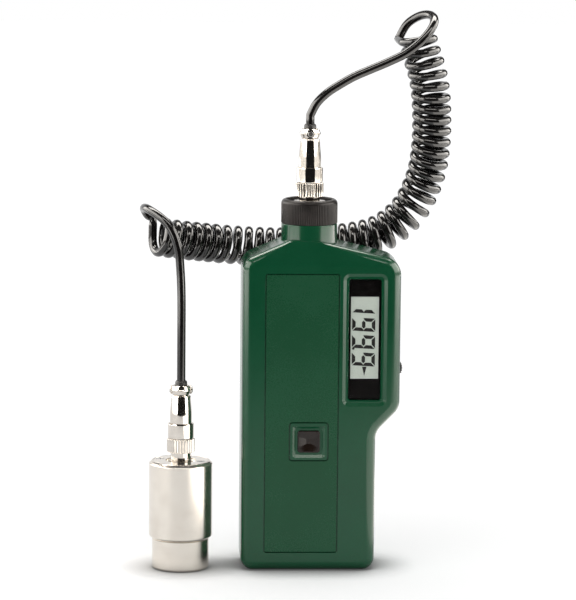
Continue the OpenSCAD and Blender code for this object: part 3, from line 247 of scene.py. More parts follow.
def clearWindow(look):
    finish = Finish("clearWindow", {"IOR": 1.45, "Specular IOR Level": 0.4})
    haze = finish.noise(look["haze"], 3.0)
    finish.feed("Base Color", finish.blend(haze, look["dark"], look["light"]))
    finish.feed("Roughness", finish.levels(haze, 0.3, 0.7, *look["roughness"]))
    finish.feed("Alpha", finish.levels(haze, 0.3, 0.7, *look["alpha"]))
    return finish


def displayGrey(look):
    # painted light: paler along the two edges that the light comes in by
    finish = Finish("displayGrey", {"Specular IOR Level": 0.3})
    across = finish.node("ShaderNodeSeparateXYZ", {}, {0: finish.place}, "X")
    height = Signal(finish, across.socket.node.outputs["Z"])
    # painted light: masks that rise toward the right edge and the lower edge
    paintedLightRight = finish.levels(across, look["right"] - look["edge"], look["right"])
    paintedLightLow = finish.levels(height, look["low"] + look["edge"], look["low"])
    cloud = finish.noise(look["cloud"], 3.0)
    plain = finish.blend(cloud, look["dark"], look["light"])
    # share of the painted light, greatest at the right and lower edges
    share = (paintedLightRight + paintedLightLow) * look["paintedLightShare"]
    finish.feed("Base Color", finish.blend(share, plain, look["pale"]))
    finish.feed("Roughness", finish.levels(cloud, 0.3, 0.7, *look["roughness"]))
    finish.feed("Normal", finish.bump(finish.noise(0.12, 2.0), 0.001))
    return finish


def boardGreen(look):
    # solder mask with tracks and small round pads
    finish = Finish("boardGreen", {"Specular IOR Level": 0.5})
    tracks = finish.node("ShaderNodeTexWave", {"wave_type": "BANDS", "bands_direction": "Z"}, {
        "Vector": finish.place, "Scale": look["trackScale"], "Distortion": 4.0, "Detail": 1.0,
        "Detail Scale": 0.4}, "Fac")
    pads = finish.node("ShaderNodeTexVoronoi", {},
                       {"Vector": finish.place, "Scale": look["padScale"]}, "Distance")
    copper = finish.levels(tracks, 0.62, 0.7)
    solder = finish.levels(pads, 0.2, 0.16)
    mask = finish.blend(copper, look["dark"], look["light"])
    finish.feed("Base Color", finish.blend(solder, mask, look["solder"]))
    finish.feed("Roughness", finish.levels(tracks, 0.0, 1.0, *look["roughness"]))
    finish.feed("Normal", finish.bump(copper + solder, 0.04))
    return finish


finishes["clearWindow"] = clearWindow(windowLook)
finishes["displayGrey"] = displayGrey(displayLook)
finishes["boardGreen"] = boardGreen(boardLook)
print("finishes made:", len(finishes))


# Meshes, drawn in millimetres
hair = 0.01  # keeps the faces of a cutting tool off the faces that it cuts
past = 1.0  # how far a cutting tool reaches past what it cuts
leastRadius = 0.02  # a corner that is drawn in keeps this much of its rounding
leadIn = 0.25  # chamfer at the mouth of a bore
smallEdge = 0.1  # chamfer of a crisp corner
upwards = Vector((0, 0, 1))


def above(point, rise):
    return Vector(point) + rise * upwards


def underscored(name):
    return "".join("_" + letter.lower() if letter.isupper() else letter for letter in name)


def finishPiece(name, bm, finish, body="meter", slot=None, replaced=None, angle=24):
    # the solid replaced is named after the piece, if none is given; the slot is not used
    bmesh.ops.remove_doubles(bm, verts=bm.verts, dist=0.0005)
    bmesh.ops.dissolve_degenerate(bm, edges=bm.edges, dist=0.0003)
    bmesh.ops.recalc_face_normals(bm, faces=bm.faces)
    bmesh.ops.scale(bm, vec=(millimetre,) * 3, verts=bm.verts)
    mesh = bpy.data.meshes.new(name)
    bm.to_mesh(mesh)
    bm.free()
    mesh.shade_smooth()
    mesh.set_sharp_from_angle(angle=math.radians(angle))
    mesh.materials.append(finishes[finish].owner)
    piece = bpy.data.objects.new(name, mesh)
    bpy.context.collection.objects.link(piece)
    flatten = piece.modifiers.new("flatFaces", "WEIGHTED_NORMAL")
    flatten.keep_sharp, flatten.weight = True, 60
    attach(piece, body)
    slot or underscored(finish)
    if replaced is None:
        replaced = (underscored(name),)
    if replaced:
        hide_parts(*replaced)


def soften(bm, width, segments=2, angle=30, chosen=None):
    # rounds the edges that are sharper than angle
    bm.normal_update()
    edges = [e for e in bm.edges if len(e.link_faces) == 2
             and e.calc_face_angle(0) > math.radians(angle) and (chosen is None or chosen(e))]
    bmesh.ops.bevel(bm, geom=edges, affect="EDGES", offset=width, offset_type="OFFSET",
                    segments=segments, profile=0.5, material=-1, clamp_overlap=True)


def moved(bm, offset):
    bmesh.ops.translate(bm, vec=offset, verts=bm.verts)
    return bm


def turned(bm, matrix):
    bmesh.ops.rotate(bm, cent=(0, 0, 0), matrix=matrix, verts=bm.verts)
    return bm


def drawnOut(bm, points, offset):
    # a flat face through the points, drawn out by offset
    face = bm.faces.new([bm.verts.new(point) for point in points])
    made = bmesh.ops.extrude_face_region(bm, geom=[face])["geom"]
    ends = [g for g in made if isinstance(g, bmesh.types.BMVert)]
    bmesh.ops.translate(bm, vec=offset, verts=ends)
    return ends


def lathe(profile, steps=96, centre=(0, 0, 0), closed=True):
    bm = bmesh.new()
    points = [bm.verts.new((r, 0, z)) for r, z in profile]
    edges = [bm.edges.new(pair) for pair in zip(points, points[1:])]
    if closed:
        edges.append(bm.edges.new((points[-1], points[0])))
    bmesh.ops.spin(bm, geom=points + edges, axis=(0, 0, 1), cent=(0, 0, 0), dvec=(0, 0, 0),
                   angle=2 * math.pi, steps=steps, use_merge=True, use_duplicate=False)
    bmesh.ops.remove_doubles(bm, verts=bm.verts, dist=0.0005)
    bmesh.ops.recalc_face_normals(bm, faces=bm.faces)
    return moved(bm, centre)


def ridged(bm, radius, count, depth, low, high):
    # presses grooves into the wall of this radius, between low and high
    for vert in bm.verts:
        reach = Vector(vert.co[:2]).length
        if reach > radius - 0.05 and low < vert.co.z < high:
            phase = math.atan2(vert.co.y, vert.co.x) * count
            shrink = (reach - depth * (1 - math.cos(phase))) / reach
            vert.co.x, vert.co.y = vert.co.x * shrink, vert.co.y * shrink


def carve(bm, tool, operation="DIFFERENCE"):
    # takes the tool from bm, or adds it, and uses both up
    pair = []
    for source in (bm, tool):
        mesh = bpy.data.meshes.new("carving")
        source.to_mesh(mesh)
        source.free()
        thing = bpy.data.objects.new("carving", mesh)
        bpy.context.collection.objects.link(thing)
        pair.append(thing)
    boolean = pair[0].modifiers.new("carving", "BOOLEAN")
    boolean.operation, boolean.solver, boolean.object = operation, "EXACT", pair[1]
    evaluated = pair[0].evaluated_get(bpy.context.evaluated_depsgraph_get())
    result = bpy.data.meshes.new_from_object(evaluated)
    carved = bmesh.new()
    carved.from_mesh(result)
    used = [result] + [thing.data for thing in pair]
    for thing in pair:
        bpy.data.objects.remove(thing)
    for mesh in used:
        bpy.data.meshes.remove(mesh)
    return carved


def slab(x, z, width, height, radius, near, far, slope=0.0, steps=8):
    # a rounded plate across Y from near to far, drawn in by slope at far
    bm = bmesh.new()
    ring = []
    for corner, (sx, sz) in enumerate(((1, 1), (-1, 1), (-1, -1), (1, -1))):
        for k in range(steps + 1):
            angle = math.radians(90 * (corner + k / steps))
            ring.append((x + sx * (width / 2 - radius) + radius * math.cos(angle), near,
                         z + sz * (height / 2 - radius) + radius * math.sin(angle)))
    shrink = max(radius - slope, leastRadius) / radius
    extra = max(slope - radius + leastRadius, 0)
    for vert in drawnOut(bm, ring, (0, 0, 0)):
        sx, sz = math.copysign(1, vert.co.x - x), math.copysign(1, vert.co.z - z)
        cx, cz = x + sx * (width / 2 - radius), z + sz * (height / 2 - radius)
        vert.co = (cx - sx * extra + (vert.co.x - cx) * shrink, far,
                   cz - sz * extra + (vert.co.z - cz) * shrink)
    bmesh.ops.recalc_face_normals(bm, faces=bm.faces)
    return bm


def rod(radius, start, end, steps=48):
    # a round bar between two points
    bm = bmesh.new()
    start, end = Vector(start), Vector(end)
    along = end - start
    bmesh.ops.create_cone(bm, cap_ends=True, segments=steps, radius1=radius, radius2=radius,
                          depth=along.length)
    turned(bm, upwards.rotation_difference(along).to_matrix())
    return moved(bm, (start + end) / 2)


def block(low, high):
    bm = bmesh.new()
    bmesh.ops.create_cube(bm, size=1)
    low, high = Vector(low), Vector(high)
    bmesh.ops.scale(bm, vec=high - low, verts=bm.verts)
    return moved(bm, (low + high) / 2)


def join(bm, other):
    # moves the faces of other into bm, without any cut
    mesh = bpy.data.meshes.new("joined")
    other.to_mesh(mesh)
    other.free()
    bm.from_mesh(mesh)
    bpy.data.meshes.remove(mesh)
    return bm


# Cord in metres: one unbroken line along the routes in the part's source
cord = {
    "diameter": 0.0042, "curlRadius": 0.0076, "gap": 0.00072, "firstTurn": -90, "lastTurn": 0,
    "stepsPerCurl": 28, "axisSteps": 8, "leadSteps": 6, "inside": 0.006,
    "meterExit": (0, 0, 0.21605), "sensorExit": (-0.0615, -0.0065, 0.092),
    "axis": [
        (0.052, 0.013, 0.257), (0.054, 0.013, 0.25), (0.057, 0.014, 0.241), (0.059, 0.015, 0.231),
        (0.06, 0.017, 0.219), (0.06, 0.0195, 0.204), (0.058, 0.023, 0.189), (0.052, 0.026, 0.174),
        (0.043, 0.027, 0.164), (0.032, 0.027, 0.158), (0.017, 0.027, 0.155), (0.001, 0.027, 0.1535),
        (-0.014, 0.027, 0.153), (-0.028, 0.0265, 0.1535), (-0.04, 0.0245, 0.1545),
        (-0.051, 0.0205, 0.156), (-0.061, 0.0165, 0.1575), (-0.073, 0.0125, 0.1595),
    ],
    "meterLead": [
        (0.003, 0, 0.226), (0.008, 0, 0.231), (0.014, 0, 0.235), (0.021, 0, 0.239),
        (0.029, 0, 0.2425), (0.037, -0.0005, 0.246), (0.045, -0.001, 0.25), (0.051, -0.001, 0.2545),
        (0.056, 0, 0.2595), (0.059, 0.003, 0.264), (0.0595, 0.009, 0.267), (0.057, 0.015, 0.268),
        (0.0525, 0.0195, 0.2665), (0.0475, 0.0215, 0.2625),
    ],
    "sensorLead": [
        (-0.0775, 0.02, 0.169), (-0.0795, 0.0165, 0.1725), (-0.079, 0.01, 0.174),
        (-0.0765, 0.003, 0.1735), (-0.072, -0.002, 0.171), (-0.068, -0.0045, 0.1675),
        (-0.065, -0.006, 0.162), (-0.063, -0.0065, 0.155), (-0.0622, -0.0065, 0.147),
        (-0.0617, -0.0065, 0.138), (-0.0615, -0.0065, 0.128), (-0.0615, -0.0065, 0.115),
    ],
}


def smoothRoute(points, steps):
    padded = [2 * points[0] - points[1]] + points + [2 * points[-1] - points[-2]]
    route = []
    for a, b, c, d in zip(padded, padded[1:], padded[2:], padded[3:]):
        for t in (k / steps for k in range(steps)):
            route.append((2 * b + (c - a) * t + (2 * a - 5 * b + 4 * c - d) * t * t
                          + (3 * b - a - 3 * c + d) * t * t * t) / 2)
    return route + [points[-1]]


def headings(points):
    last = len(points) - 1
    return [(points[min(i + 1, last)] - points[max(i - 1, 0)]).normalized()
            for i in range(last + 1)]


def coilPoints(look):
    axis = smoothRoute([Vector(p) for p in look["axis"]], look["axisSteps"])
    heads, last = headings(axis), len(axis) - 1

    def bend(i):
        a, b = max(i - 1, 0), min(i + 1, last)
        return (heads[b] - heads[a]).length / (axis[b] - axis[a]).length

    # curls up to each point of the axis, closer together on the inside of a bend
    curls = [0.0]
    for i in range(last):
        curls.append(curls[-1] + (axis[i + 1] - axis[i]).length
                     * (1 - look["curlRadius"] * (bend(i) + bend(i + 1)) / 2)
                     / (look["diameter"] + look["gap"]))
    part = (look["lastTurn"] - look["firstTurn"]) / 360
    count = math.floor(curls[-1] + part) - part
    total, points = round(count * look["stepsPerCurl"]), []
    for k in range(total + 1):
        target = k / total * curls[-1]
        i = min(last - 1, sum(1 for c in curls if c <= target) - 1)
        t = (target - curls[i]) / (curls[i + 1] - curls[i])
        head = heads[i].lerp(heads[i + 1], t).normalized()
        back = (Vector((0, 1, 0)) - head[1] * head).normalized()
        angle = math.radians(look["firstTurn"] - 360 * k / total * count)
        out = back * math.cos(angle) + head.cross(back) * math.sin(angle)
        points.append(axis[i].lerp(axis[i + 1], t) + look["curlRadius"] * out)
    return points


def tip(end, inner, length):
    return end + (end - inner).normalized() * length


def cordLine(look):
    size, inside = look["diameter"], look["inside"] * upwards
    coil = coilPoints(look)
    # the straight ends, as long as the cord is thick, where the leads meet the coil
    start, end = tip(coil[0], coil[1], size), tip(coil[-1], coil[-2], size)
    meterExit, sensorExit = Vector(look["meterExit"]), Vector(look["sensorExit"])
    lead = smoothRoute([meterExit + size * upwards] + [Vector(p) for p in look["meterLead"]]
                       + [tip(start, coil[0], size)], look["leadSteps"])
    back = smoothRoute([tip(end, coil[-1], size)] + [Vector(p) for p in look["sensorLead"]]
                       + [sensorExit + size * upwards], look["leadSteps"])
    return ([meterExit - inside, meterExit] + lead + [start] + coil + [end] + back
            + [sensorExit, sensorExit - inside])


def makeCord(look):
    line = cordLine(look)
    curve = bpy.data.curves.new("curlyCord", "CURVE")
    curve.dimensions = "3D"
    curve.bevel_depth, curve.bevel_resolution = look["diameter"] / 2, 4
    curve.use_fill_caps = True
    spline = curve.splines.new("POLY")
    spline.points.add(len(line) - 1)
    for knot, point in zip(spline.points, line):
        knot.co = (*point, 1)
    spline.use_smooth = True
    curve.materials.append(finishes["cordBlack"].owner)
    piece = bpy.data.objects.new("curlyCord", curve)
    bpy.context.collection.objects.link(piece)
    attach(piece, "meter")
    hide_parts("meter_lead", "cord_coil", "sensor_lead")
    return piece, sum((b - a).length for a, b in zip(line, line[1:]))


curlyCord, cordLength = makeCord(cord)
print("cord made, metres:", round(cordLength, 3))

# Case, as the part's source gives it
case = {
    "depth": 32.0, "seam": 8.0, "wall": 2.2, "rearWall": 2.6, "frontEdge": 4.8, "rearEdge": 4.0,
    "seamChamfer": 0.3, "cornerSteps": 12, "edgeSteps": 8,
    "corners": [  # across, up, radius, and 1 outside or -1 in the bend
        (-32.5, 0, 6, 1), (32.5, 0, 6, 1), (32.5, 67.8, 9, -1), (44, 79.6, 9, 1),
        (44, 151.5, 9.5, 1), (3, 161.4, 6, 1), (-9.5, 161.4, 6, 1), (-32.5, 151.5, 7, 1),
    ],
    "neckRadius": 13.5, "neckTop": 168.3, "neckLow": 157.0, "neckBore": 11.5, "neckEdge": 0.5,
    "crown": 161.4, "leanHeight": 10.9, "leanBend": 2.4, "leanSteps": 6, "leanAhead": 4,
    "leanAlong": 14, "halfWidth": 60, "creaseEdge": 0.7, "creaseStart": 1.5,
}
face, back = -case["depth"] / 2, case["depth"] / 2
through = 5.0  # how deep a tool goes that opens a wall of the case
weld = 0.05  # how far two bodies overlap where they are made one


def outline(look, inset=0.0):
    corners, steps, ring = look["corners"], look["cornerSteps"], []
    for i, (x, z, radius, side) in enumerate(corners):
        here = Vector((x, z))
        before = (Vector(corners[i - 1][:2]) - here).normalized()
        after = (Vector(corners[(i + 1) % len(corners)][:2]) - here).normalized()
        half = math.acos(before.dot(after)) / 2
        inwards = (before + after).normalized()
        centre, spread = here + inwards * radius / math.sin(half), math.pi / 2 - half
        for k in range(steps + 1):
            turn = Matrix.Rotation(side * spread * (2 * k / steps - 1), 2)
            ring.append(centre - turn @ inwards * (radius - side * inset))
    return ring


def caseHalf(look, near, far, nearRim=None, farRim=None, inset=0.0):
    # the case from near to far; a rim is a rounding's width and its segments
    bm = bmesh.new()
    drawnOut(bm, [(p.x, near, p.y) for p in outline(look, inset)], (0, far - near, 0))
    bmesh.ops.recalc_face_normals(bm, faces=bm.faces)
    for place, rim in ((near, nearRim), (far, farRim)):
        if rim:
            edges = [e for e in bm.edges if all(abs(v.co.y - place) < 1e-4 for v in e.verts)]
            bmesh.ops.bevel(bm, geom=edges, affect="EDGES", offset=rim[0], offset_type="OFFSET",
                            segments=rim[1], profile=0.5, material=-1)
    return bm


def halfNeck(look, keepFront):
    # the half of the moulded neck in front of the seam, or behind it
    profile = [(0, look["neckLow"]), (look["neckRadius"], look["neckLow"]),
               (look["neckRadius"], look["neckTop"]), (0, look["neckTop"])]
    bm = lathe(profile, 160, closed=False)
    soften(bm, look["neckEdge"], 3, 60,
           lambda e: all(v.co.z > look["neckTop"] - 0.1 for v in e.verts))
    bmesh.ops.bisect_plane(bm, geom=bm.verts[:] + bm.edges[:] + bm.faces[:], dist=1e-5,
                           plane_co=(0, look["seam"], 0), plane_no=(0, 1 if keepFront else -1, 0),
                           clear_outer=True)
    bmesh.ops.holes_fill(bm, edges=[e for e in bm.edges if e.is_boundary], sides=0)
    bmesh.ops.recalc_face_normals(bm, faces=bm.faces)
    return bm


def neckHole(look):
    return rod(look["neckBore"], (0, 0, look["neckLow"] - 3 * past),
               (0, 0, look["neckTop"] + 3 * past), 96)


def leanAngle(look):
    return math.atan((-face - look["neckRadius"]) / look["leanHeight"])


def leanCutter(look, gap):
    # space in front of the leaning upper end, with a soft bend where the lean starts
    lean, ahead = leanAngle(look), face - look["leanAhead"]
    start = look["crown"] - look["leanHeight"] - look["leanBend"]
    radius = look["leanBend"] / math.tan(lean / 2) - gap
    profile = [(ahead, start)]
    for k in range(look["leanSteps"] + 1):
        turn = lean * k / look["leanSteps"]
        profile.append((face + radius * (1 - math.cos(turn)) + gap,
                        start + radius * math.sin(turn)))
    y, z = profile[-1]
    top = z + look["leanAlong"] * math.cos(lean)
    profile += [(y + look["leanAlong"] * math.sin(lean), top), (ahead, top)]
    bm = bmesh.new()
    drawnOut(bm, [(-look["halfWidth"], y, z) for y, z in profile], (2 * look["halfWidth"], 0, 0))
    bmesh.ops.recalc_face_normals(bm, faces=bm.faces)
    return bm


front = {
    "label": {"x": -3.6, "z": 77.2, "width": 35.8, "height": 136.4, "depth": 0.5, "radius": 1.2,
              "mouth": 0.08, "mouthDepth": 0.08, "groove": 0.45, "grooveDepth": 1.5,
              "thickness": 0.35, "edge": 0.06},
    "keyFrame": {"z": 63.7, "width": 18.2, "radius": 1.2, "pocket": 15.7, "slope": 1.4,
                 "depth": 0.9, "hole": 10.8, "sideSlope": 0.25},
    "display": {"x": 26.6, "z": 113.3, "width": 15.6, "height": 58.9, "radius": 1.2, "frame": 2.9,
                "outerRadius": 3.4, "bevel": 1.6, "step": 0.8, "ledge": 0.5, "lap": 0.3,
                "floor": 1.5},
    "selector": {"y": -2.35, "z": 98.0, "recess": 0.8, "recessSize": (6.6, 11.4),
                 "recessCorner": 1.2, "slotSize": (3.5, 7.9), "slotCorner": 0.4},
}


def keySquare(key, width, radius, near, far, slope=0.0):
    return slab(0, key["z"], width, width, radius, near, far, slope)


def sideSlot(look, size, radius, depth):
    # a rounded slot in the right side
    side = case["corners"][3][0]
    bm = slab(0, 0, size[0], size[1], radius, -side - 2 * past, depth - side)
    turned(bm, Matrix.Rotation(math.radians(90), 3, "Z"))
    return moved(bm, (0, look["y"], look["z"]))


def makeFrontShell(look, parts):
    lean, low = leanAngle(look), look["crown"] - look["leanHeight"]

    def onCrease(edge):
        # where the leaning plane meets the rounding of the upper edges
        return all(abs((v.co.y - face) * math.cos(lean) - (v.co.z - low) * math.sin(lean)) < hair
                   and v.co.z > low + look["creaseStart"] for v in edge.verts)

    bm = caseHalf(look, face, look["seam"], (look["frontEdge"], look["edgeSteps"]),
                  (look["seamChamfer"], 1))
    bm = carve(bm, leanCutter(look, 0))
    soften(bm, look["creaseEdge"], 4, 12, onCrease)
    bm = carve(bm, halfNeck(look, True), "UNION")
    hollow = caseHalf(look, face + look["wall"], look["seam"] + 2 * past, inset=look["wall"])
    bm = carve(bm, carve(hollow, leanCutter(look, look["wall"])))
    bm = carve(bm, neckHole(look))

    # pocket of the label, round the key's frame, and the grooves round both
    label, key, display, selector = (parts[k] for k in ("label", "keyFrame", "display", "selector"))
    mouth, groove = label["mouth"], label["groove"]
    pocket = slab(label["x"], label["z"], label["width"] + 2 * mouth, label["height"] + 2 * mouth,
                  label["radius"] + mouth, face - hair, face + label["mouthDepth"], mouth)
    pocket = carve(pocket, slab(label["x"], label["z"], label["width"], label["height"],
                                label["radius"], face - past, face + label["depth"]), "UNION")
    pocket = carve(pocket, keySquare(key, key["width"], key["radius"], face + 2 * past,
                                     face - 2 * past, key["sideSlope"]))
    bm = carve(bm, pocket)
    floor, keyRing = face + label["grooveDepth"], key["width"] + 2 * groove
    for x, z, width, height, radius in (
            (label["x"], label["z"], label["width"], label["height"], label["radius"]),
            (0, key["z"], keyRing, keyRing, key["radius"] + groove)):
        ring = slab(x, z, width, height, radius, face + 0.1, floor)
        bm = carve(bm, carve(ring, slab(x, z, width - 2 * groove, height - 2 * groove,
                                        radius - groove, face - past, floor + past)))
    bm = carve(bm, keySquare(key, key["pocket"], key["radius"], face - hair, face + key["depth"],
                             key["slope"]))
    bm = carve(bm, keySquare(key, key["hole"], key["radius"], face - past, face + through))

    # the display's frame: a sloped step, a narrow ledge, and the opening
    x, z, width, height = (display[k] for k in ("x", "z", "width", "height"))
    outer, step = display["frame"], face + display["step"]
    bm = carve(bm, slab(x, z, width + 2 * outer, height + 2 * outer, display["outerRadius"],
                        face - hair, step, display["bevel"]))
    inner = outer - display["bevel"] - display["ledge"]
    bm = carve(bm, slab(x, z, width + 2 * inner, height + 2 * inner, display["radius"] + inner,
                        step - display["lap"], face + display["floor"], inner))
    bm = carve(bm, slab(x, z, width, height, display["radius"], face - past, face + through))
    bm = carve(bm, sideSlot(selector, selector["recessSize"], selector["recessCorner"],
                            selector["recess"]))
    bm = carve(bm, sideSlot(selector, selector["slotSize"], selector["slotCorner"], through))
    finishPiece("frontShell", bm, "caseGreen", angle=18)


rear = {
    "cover": {"width": 33.0, "height": 60.0, "low": 8.5, "thickness": 1.4, "radius": 1.5,
              "gap": 0.25, "pocket": 1.5, "edge": 0.25},
    "bay": {"width": 27.5, "height": 50.4, "low": 10.5, "front": -3.15, "wall": 1.2},
    "lip": {"width": 8.0, "height": 1.6, "thickness": 0.7, "slack": 0.25, "play": 0.5},
    "leadSlot": {"halfWidth": 4.2, "front": 4.3, "back": 6.7},
    "rib": {"across": 9.75, "halfWidth": 0.5, "depth": 0.25, "fromLow": 6, "fromTop": 8},
    "screws": {"places": [(-25.1, 7.4), (25.1, 7.4), (-24.3, 146.3), (26.6, 147.35)],
               "hole": 2.75, "head": 2.5, "depth": 4.4, "thickness": 1.8, "post": 3.25,
               "shank": 1.3, "slack": 0.25, "length": 11.9, "edge": 0.45},
    "grip": {"count": 4, "width": 12.0, "depth": 0.5, "pitch": 1.6, "drop": 4.0, "radius": 0.38,
             "slope": 0.15},
}


def makeRearShell(look, parts):
    cover, bay, lip, slot, screws = (
        parts[k] for k in ("cover", "bay", "lip", "leadSlot", "screws"))
    inside, seam = back - look["rearWall"], look["seam"]
    bm = caseHalf(look, seam, back, (look["seamChamfer"], 1), (look["rearEdge"], look["edgeSteps"]))
    bm = carve(bm, halfNeck(look, False), "UNION")
    bm = carve(bm, caseHalf(look, seam - 2 * past, inside, inset=look["wall"]))
    bm = carve(bm, neckHole(look))
    half, wall, top = bay["width"] / 2, bay["wall"], bay["low"] + bay["height"]
    bm = carve(bm, block((-half - wall, bay["front"] - wall, bay["low"] - wall),
                         (half + wall, inside + weld, top + wall)), "UNION")
    for x, z in screws["places"]:
        bm = carve(bm, rod(screws["post"], (x, seam, z), (x, inside + weld, z)), "UNION")
    bm = carve(bm, block((-half, bay["front"], bay["low"]), (half, back + 2 * past, top)))
    bm = carve(bm, slab(0, cover["low"] + cover["height"] / 2, cover["width"] + 2 * cover["gap"],
                        cover["height"] + 2 * cover["gap"], cover["radius"] + cover["gap"],
                        back - cover["pocket"], back + past))
    reach = lip["width"] / 2 + lip["slack"]
    bm = carve(bm, block((-reach, inside - past, cover["low"] - lip["height"] - lip["play"]),
                         (reach, back - cover["thickness"], bay["low"] + lip["play"])))
    bm = carve(bm, block((-slot["halfWidth"], slot["front"], top - past),
                         (slot["halfWidth"], slot["back"], top + wall + past)))
    for x, z in screws["places"]:
        bm = carve(bm, rod(screws["hole"], (x, back - screws["depth"], z), (x, back + past, z), 64))
        bm = carve(bm, rod(screws["shank"] + screws["slack"], (x, seam - past, z),
                           (x, back - 2 * past, z)))
    finishPiece("rearShell", bm, "caseGreen", angle=18)


def makeBatteryCover(parts):
    cover, lip, rib, grip = (parts[k] for k in ("cover", "lip", "rib", "grip"))
    low, top, inside = cover["low"], cover["low"] + cover["height"], back - cover["thickness"]
    bm = slab(0, (low + top) / 2, cover["width"], cover["height"], cover["radius"], back, inside)
    soften(bm, cover["edge"], 2, 60, lambda e: all(v.co.y > back - hair for v in e.verts))
    bm = carve(bm, block((-lip["width"] / 2, inside - lip["thickness"], low - lip["height"]),
                         (lip["width"] / 2, inside + hair, low + 2 * past)), "UNION")
    for side in (-rib["across"], rib["across"]):
        bm = carve(bm, block((side - rib["halfWidth"], inside - rib["depth"], low + rib["fromLow"]),
                             (side + rib["halfWidth"], inside + weld, top - rib["fromTop"])),
                   "UNION")
    for k in range(grip["count"]):
        z = top - grip["drop"] - k * grip["pitch"] + grip["pitch"] / 4
        bm = carve(bm, slab(0, z, grip["width"], grip["pitch"] / 2, grip["radius"], back + hair,
                            back - grip["depth"], grip["slope"], 5))
    finishPiece("batteryCover", bm, "caseGreen", body="cover")


crossCut = {"reach": 0.62, "halfWidth": 0.13, "depth": 0.45}  # as shares of the screw's size


def crossHead(bm, centre, outward, size):
    # cuts a cross into a screw's head
    corner = size * Vector((crossCut["reach"], crossCut["halfWidth"], crossCut["depth"]))
    facing = upwards.rotation_difference(Vector(outward)).to_matrix()
    for turn in (0, 90):
        tool = block(-corner, corner)
        turned(tool, Matrix.Rotation(math.radians(turn), 3, "Z"))
        turned(tool, facing)
        bm = carve(bm, moved(tool, Vector(centre)))
    return bm


def makeCaseScrews(look, parts):
    screws, seat = parts["screws"], back - look["rearWall"]
    under = seat - screws["thickness"]
    whole = bmesh.new()
    for x, z in screws["places"]:
        bm = rod(screws["head"], (x, under, z), (x, seat, z), 48)
        soften(bm, screws["edge"], 3, 60, lambda e: all(v.co.y > seat - hair for v in e.verts))
        bm = carve(bm, rod(screws["shank"], (x, under - screws["length"], z),
                           (x, under + 0.2, z), 32), "UNION")
        whole = join(whole, crossHead(bm, (x, seat, z), (0, 1, 0), screws["head"]))
    finishPiece("caseScrews", whole, "steel")


makeFrontShell(case, front)
print("front shell made")
makeRearShell(case, rear)
makeBatteryCover(rear)
makeCaseScrews(case, rear)
print("rear shell, cover and screws made")

# Label, key and display
keyShape = {"width": 10.6, "radius": 1.2, "proud": 0.15, "flange": 13.0, "flangeDepth": 1.0,
            "back": 3.3, "edge": 0.3, "dish": 9.6, "dishCorner": 2.6, "dishDepth": 0.8,
            "dishSlope": 3.6, "dishBend": 2.6}


def makeLabel(parts):
    label, key = parts["label"], parts["keyFrame"]
    groove, under = label["groove"], face + label["depth"]
    bm = slab(label["x"], label["z"], label["width"] - 2 * groove, label["height"] - 2 * groove,
              label["radius"] - groove, under - label["thickness"], under)
    bm = carve(bm, keySquare(key, key["width"] + 2 * groove, key["radius"] + groove, face - past,
                             face + 2 * past))
    soften(bm, label["edge"], 1, 60,
           lambda e: all(v.co.y < under - label["thickness"] / 2 for v in e.verts))
    finishPiece("labelPanel", bm, "labelGreen")


def makeKey(parts, shape):
    key, top, under = parts["keyFrame"], face - shape["proud"], face + shape["back"]
    bm = keySquare(key, shape["width"], shape["radius"], top, under)
    dish = slab(0, key["z"], shape["dish"], shape["dish"], shape["dishCorner"], top - hair,
                top + shape["dishDepth"], shape["dishSlope"], 10)
    soften(dish, shape["dishBend"], 8, 5,
           lambda e: all(v.co.y > top + shape["dishDepth"] - hair for v in e.verts))
    soften(bm, shape["edge"], 3, 60, lambda e: all(v.co.y < top + hair for v in e.verts))
    bm = carve(bm, dish)
    bm = carve(bm, keySquare(key, shape["flange"], shape["radius"], under - shape["flangeDepth"],
                             under), "UNION")
    finishPiece("powerKey", bm, "keyBlack", body="key")


screen = {"lap": 1.1, "windowFront": -13.8, "windowDepth": 1.0, "windowEdge": 0.1,
          "maskDepth": 0.2, "glassFront": -12.55, "glassBack": -9.93, "glassHeight": 54.9,
          "glassCorner": 0.2, "glassEdge": 0.12, "viewWidth": 13.5, "viewHeight": 40.0,
          "viewZ": 114.05, "viewCorner": 0.25}


def makeDisplay(parts, shape):
    x, z, radius = (parts["display"][k] for k in ("x", "z", "radius"))
    wide, tall = (parts["display"][k] + 2 * shape["lap"] for k in ("width", "height"))
    maskFront = shape["windowFront"] + shape["windowDepth"]
    window = slab(x, z, wide, tall, radius, shape["windowFront"], maskFront)
    soften(window, shape["windowEdge"], 1, 60)
    finishPiece("displayWindow", window, "clearWindow")
    mask = slab(x, z, wide, tall, radius, maskFront, maskFront + shape["maskDepth"])
    mask = carve(mask, slab(x, shape["viewZ"], shape["viewWidth"], shape["viewHeight"],
                            shape["viewCorner"], maskFront - past, maskFront + past))
    finishPiece("displayMask", mask, "maskBlack")
    glass = slab(x, z, wide, shape["glassHeight"], shape["glassCorner"], shape["glassFront"],
                 shape["glassBack"])
    soften(glass, shape["glassEdge"], 1, 60)
    finishPiece("displayGlass", glass, "displayGrey", slot="lcd_grey", replaced=("lcd_glass",))


reading = {"digits": [("1", 127.3), ("9", 120.8), ("9", 112.4), ("9", 103.9)], "foot": 20.5,
           "height": 11.2, "width": 6.5, "stroke": 1.7, "gap": 0.34, "slant": 0.06, "mitre": 0.55,
           "nick": 0.3, "inset": 1.2, "point": (21.2, 108.8, 0.62),
           "pointer": (26.6, 99.9, 95.5, 1.1), "front": -12.62, "depth": 0.06}


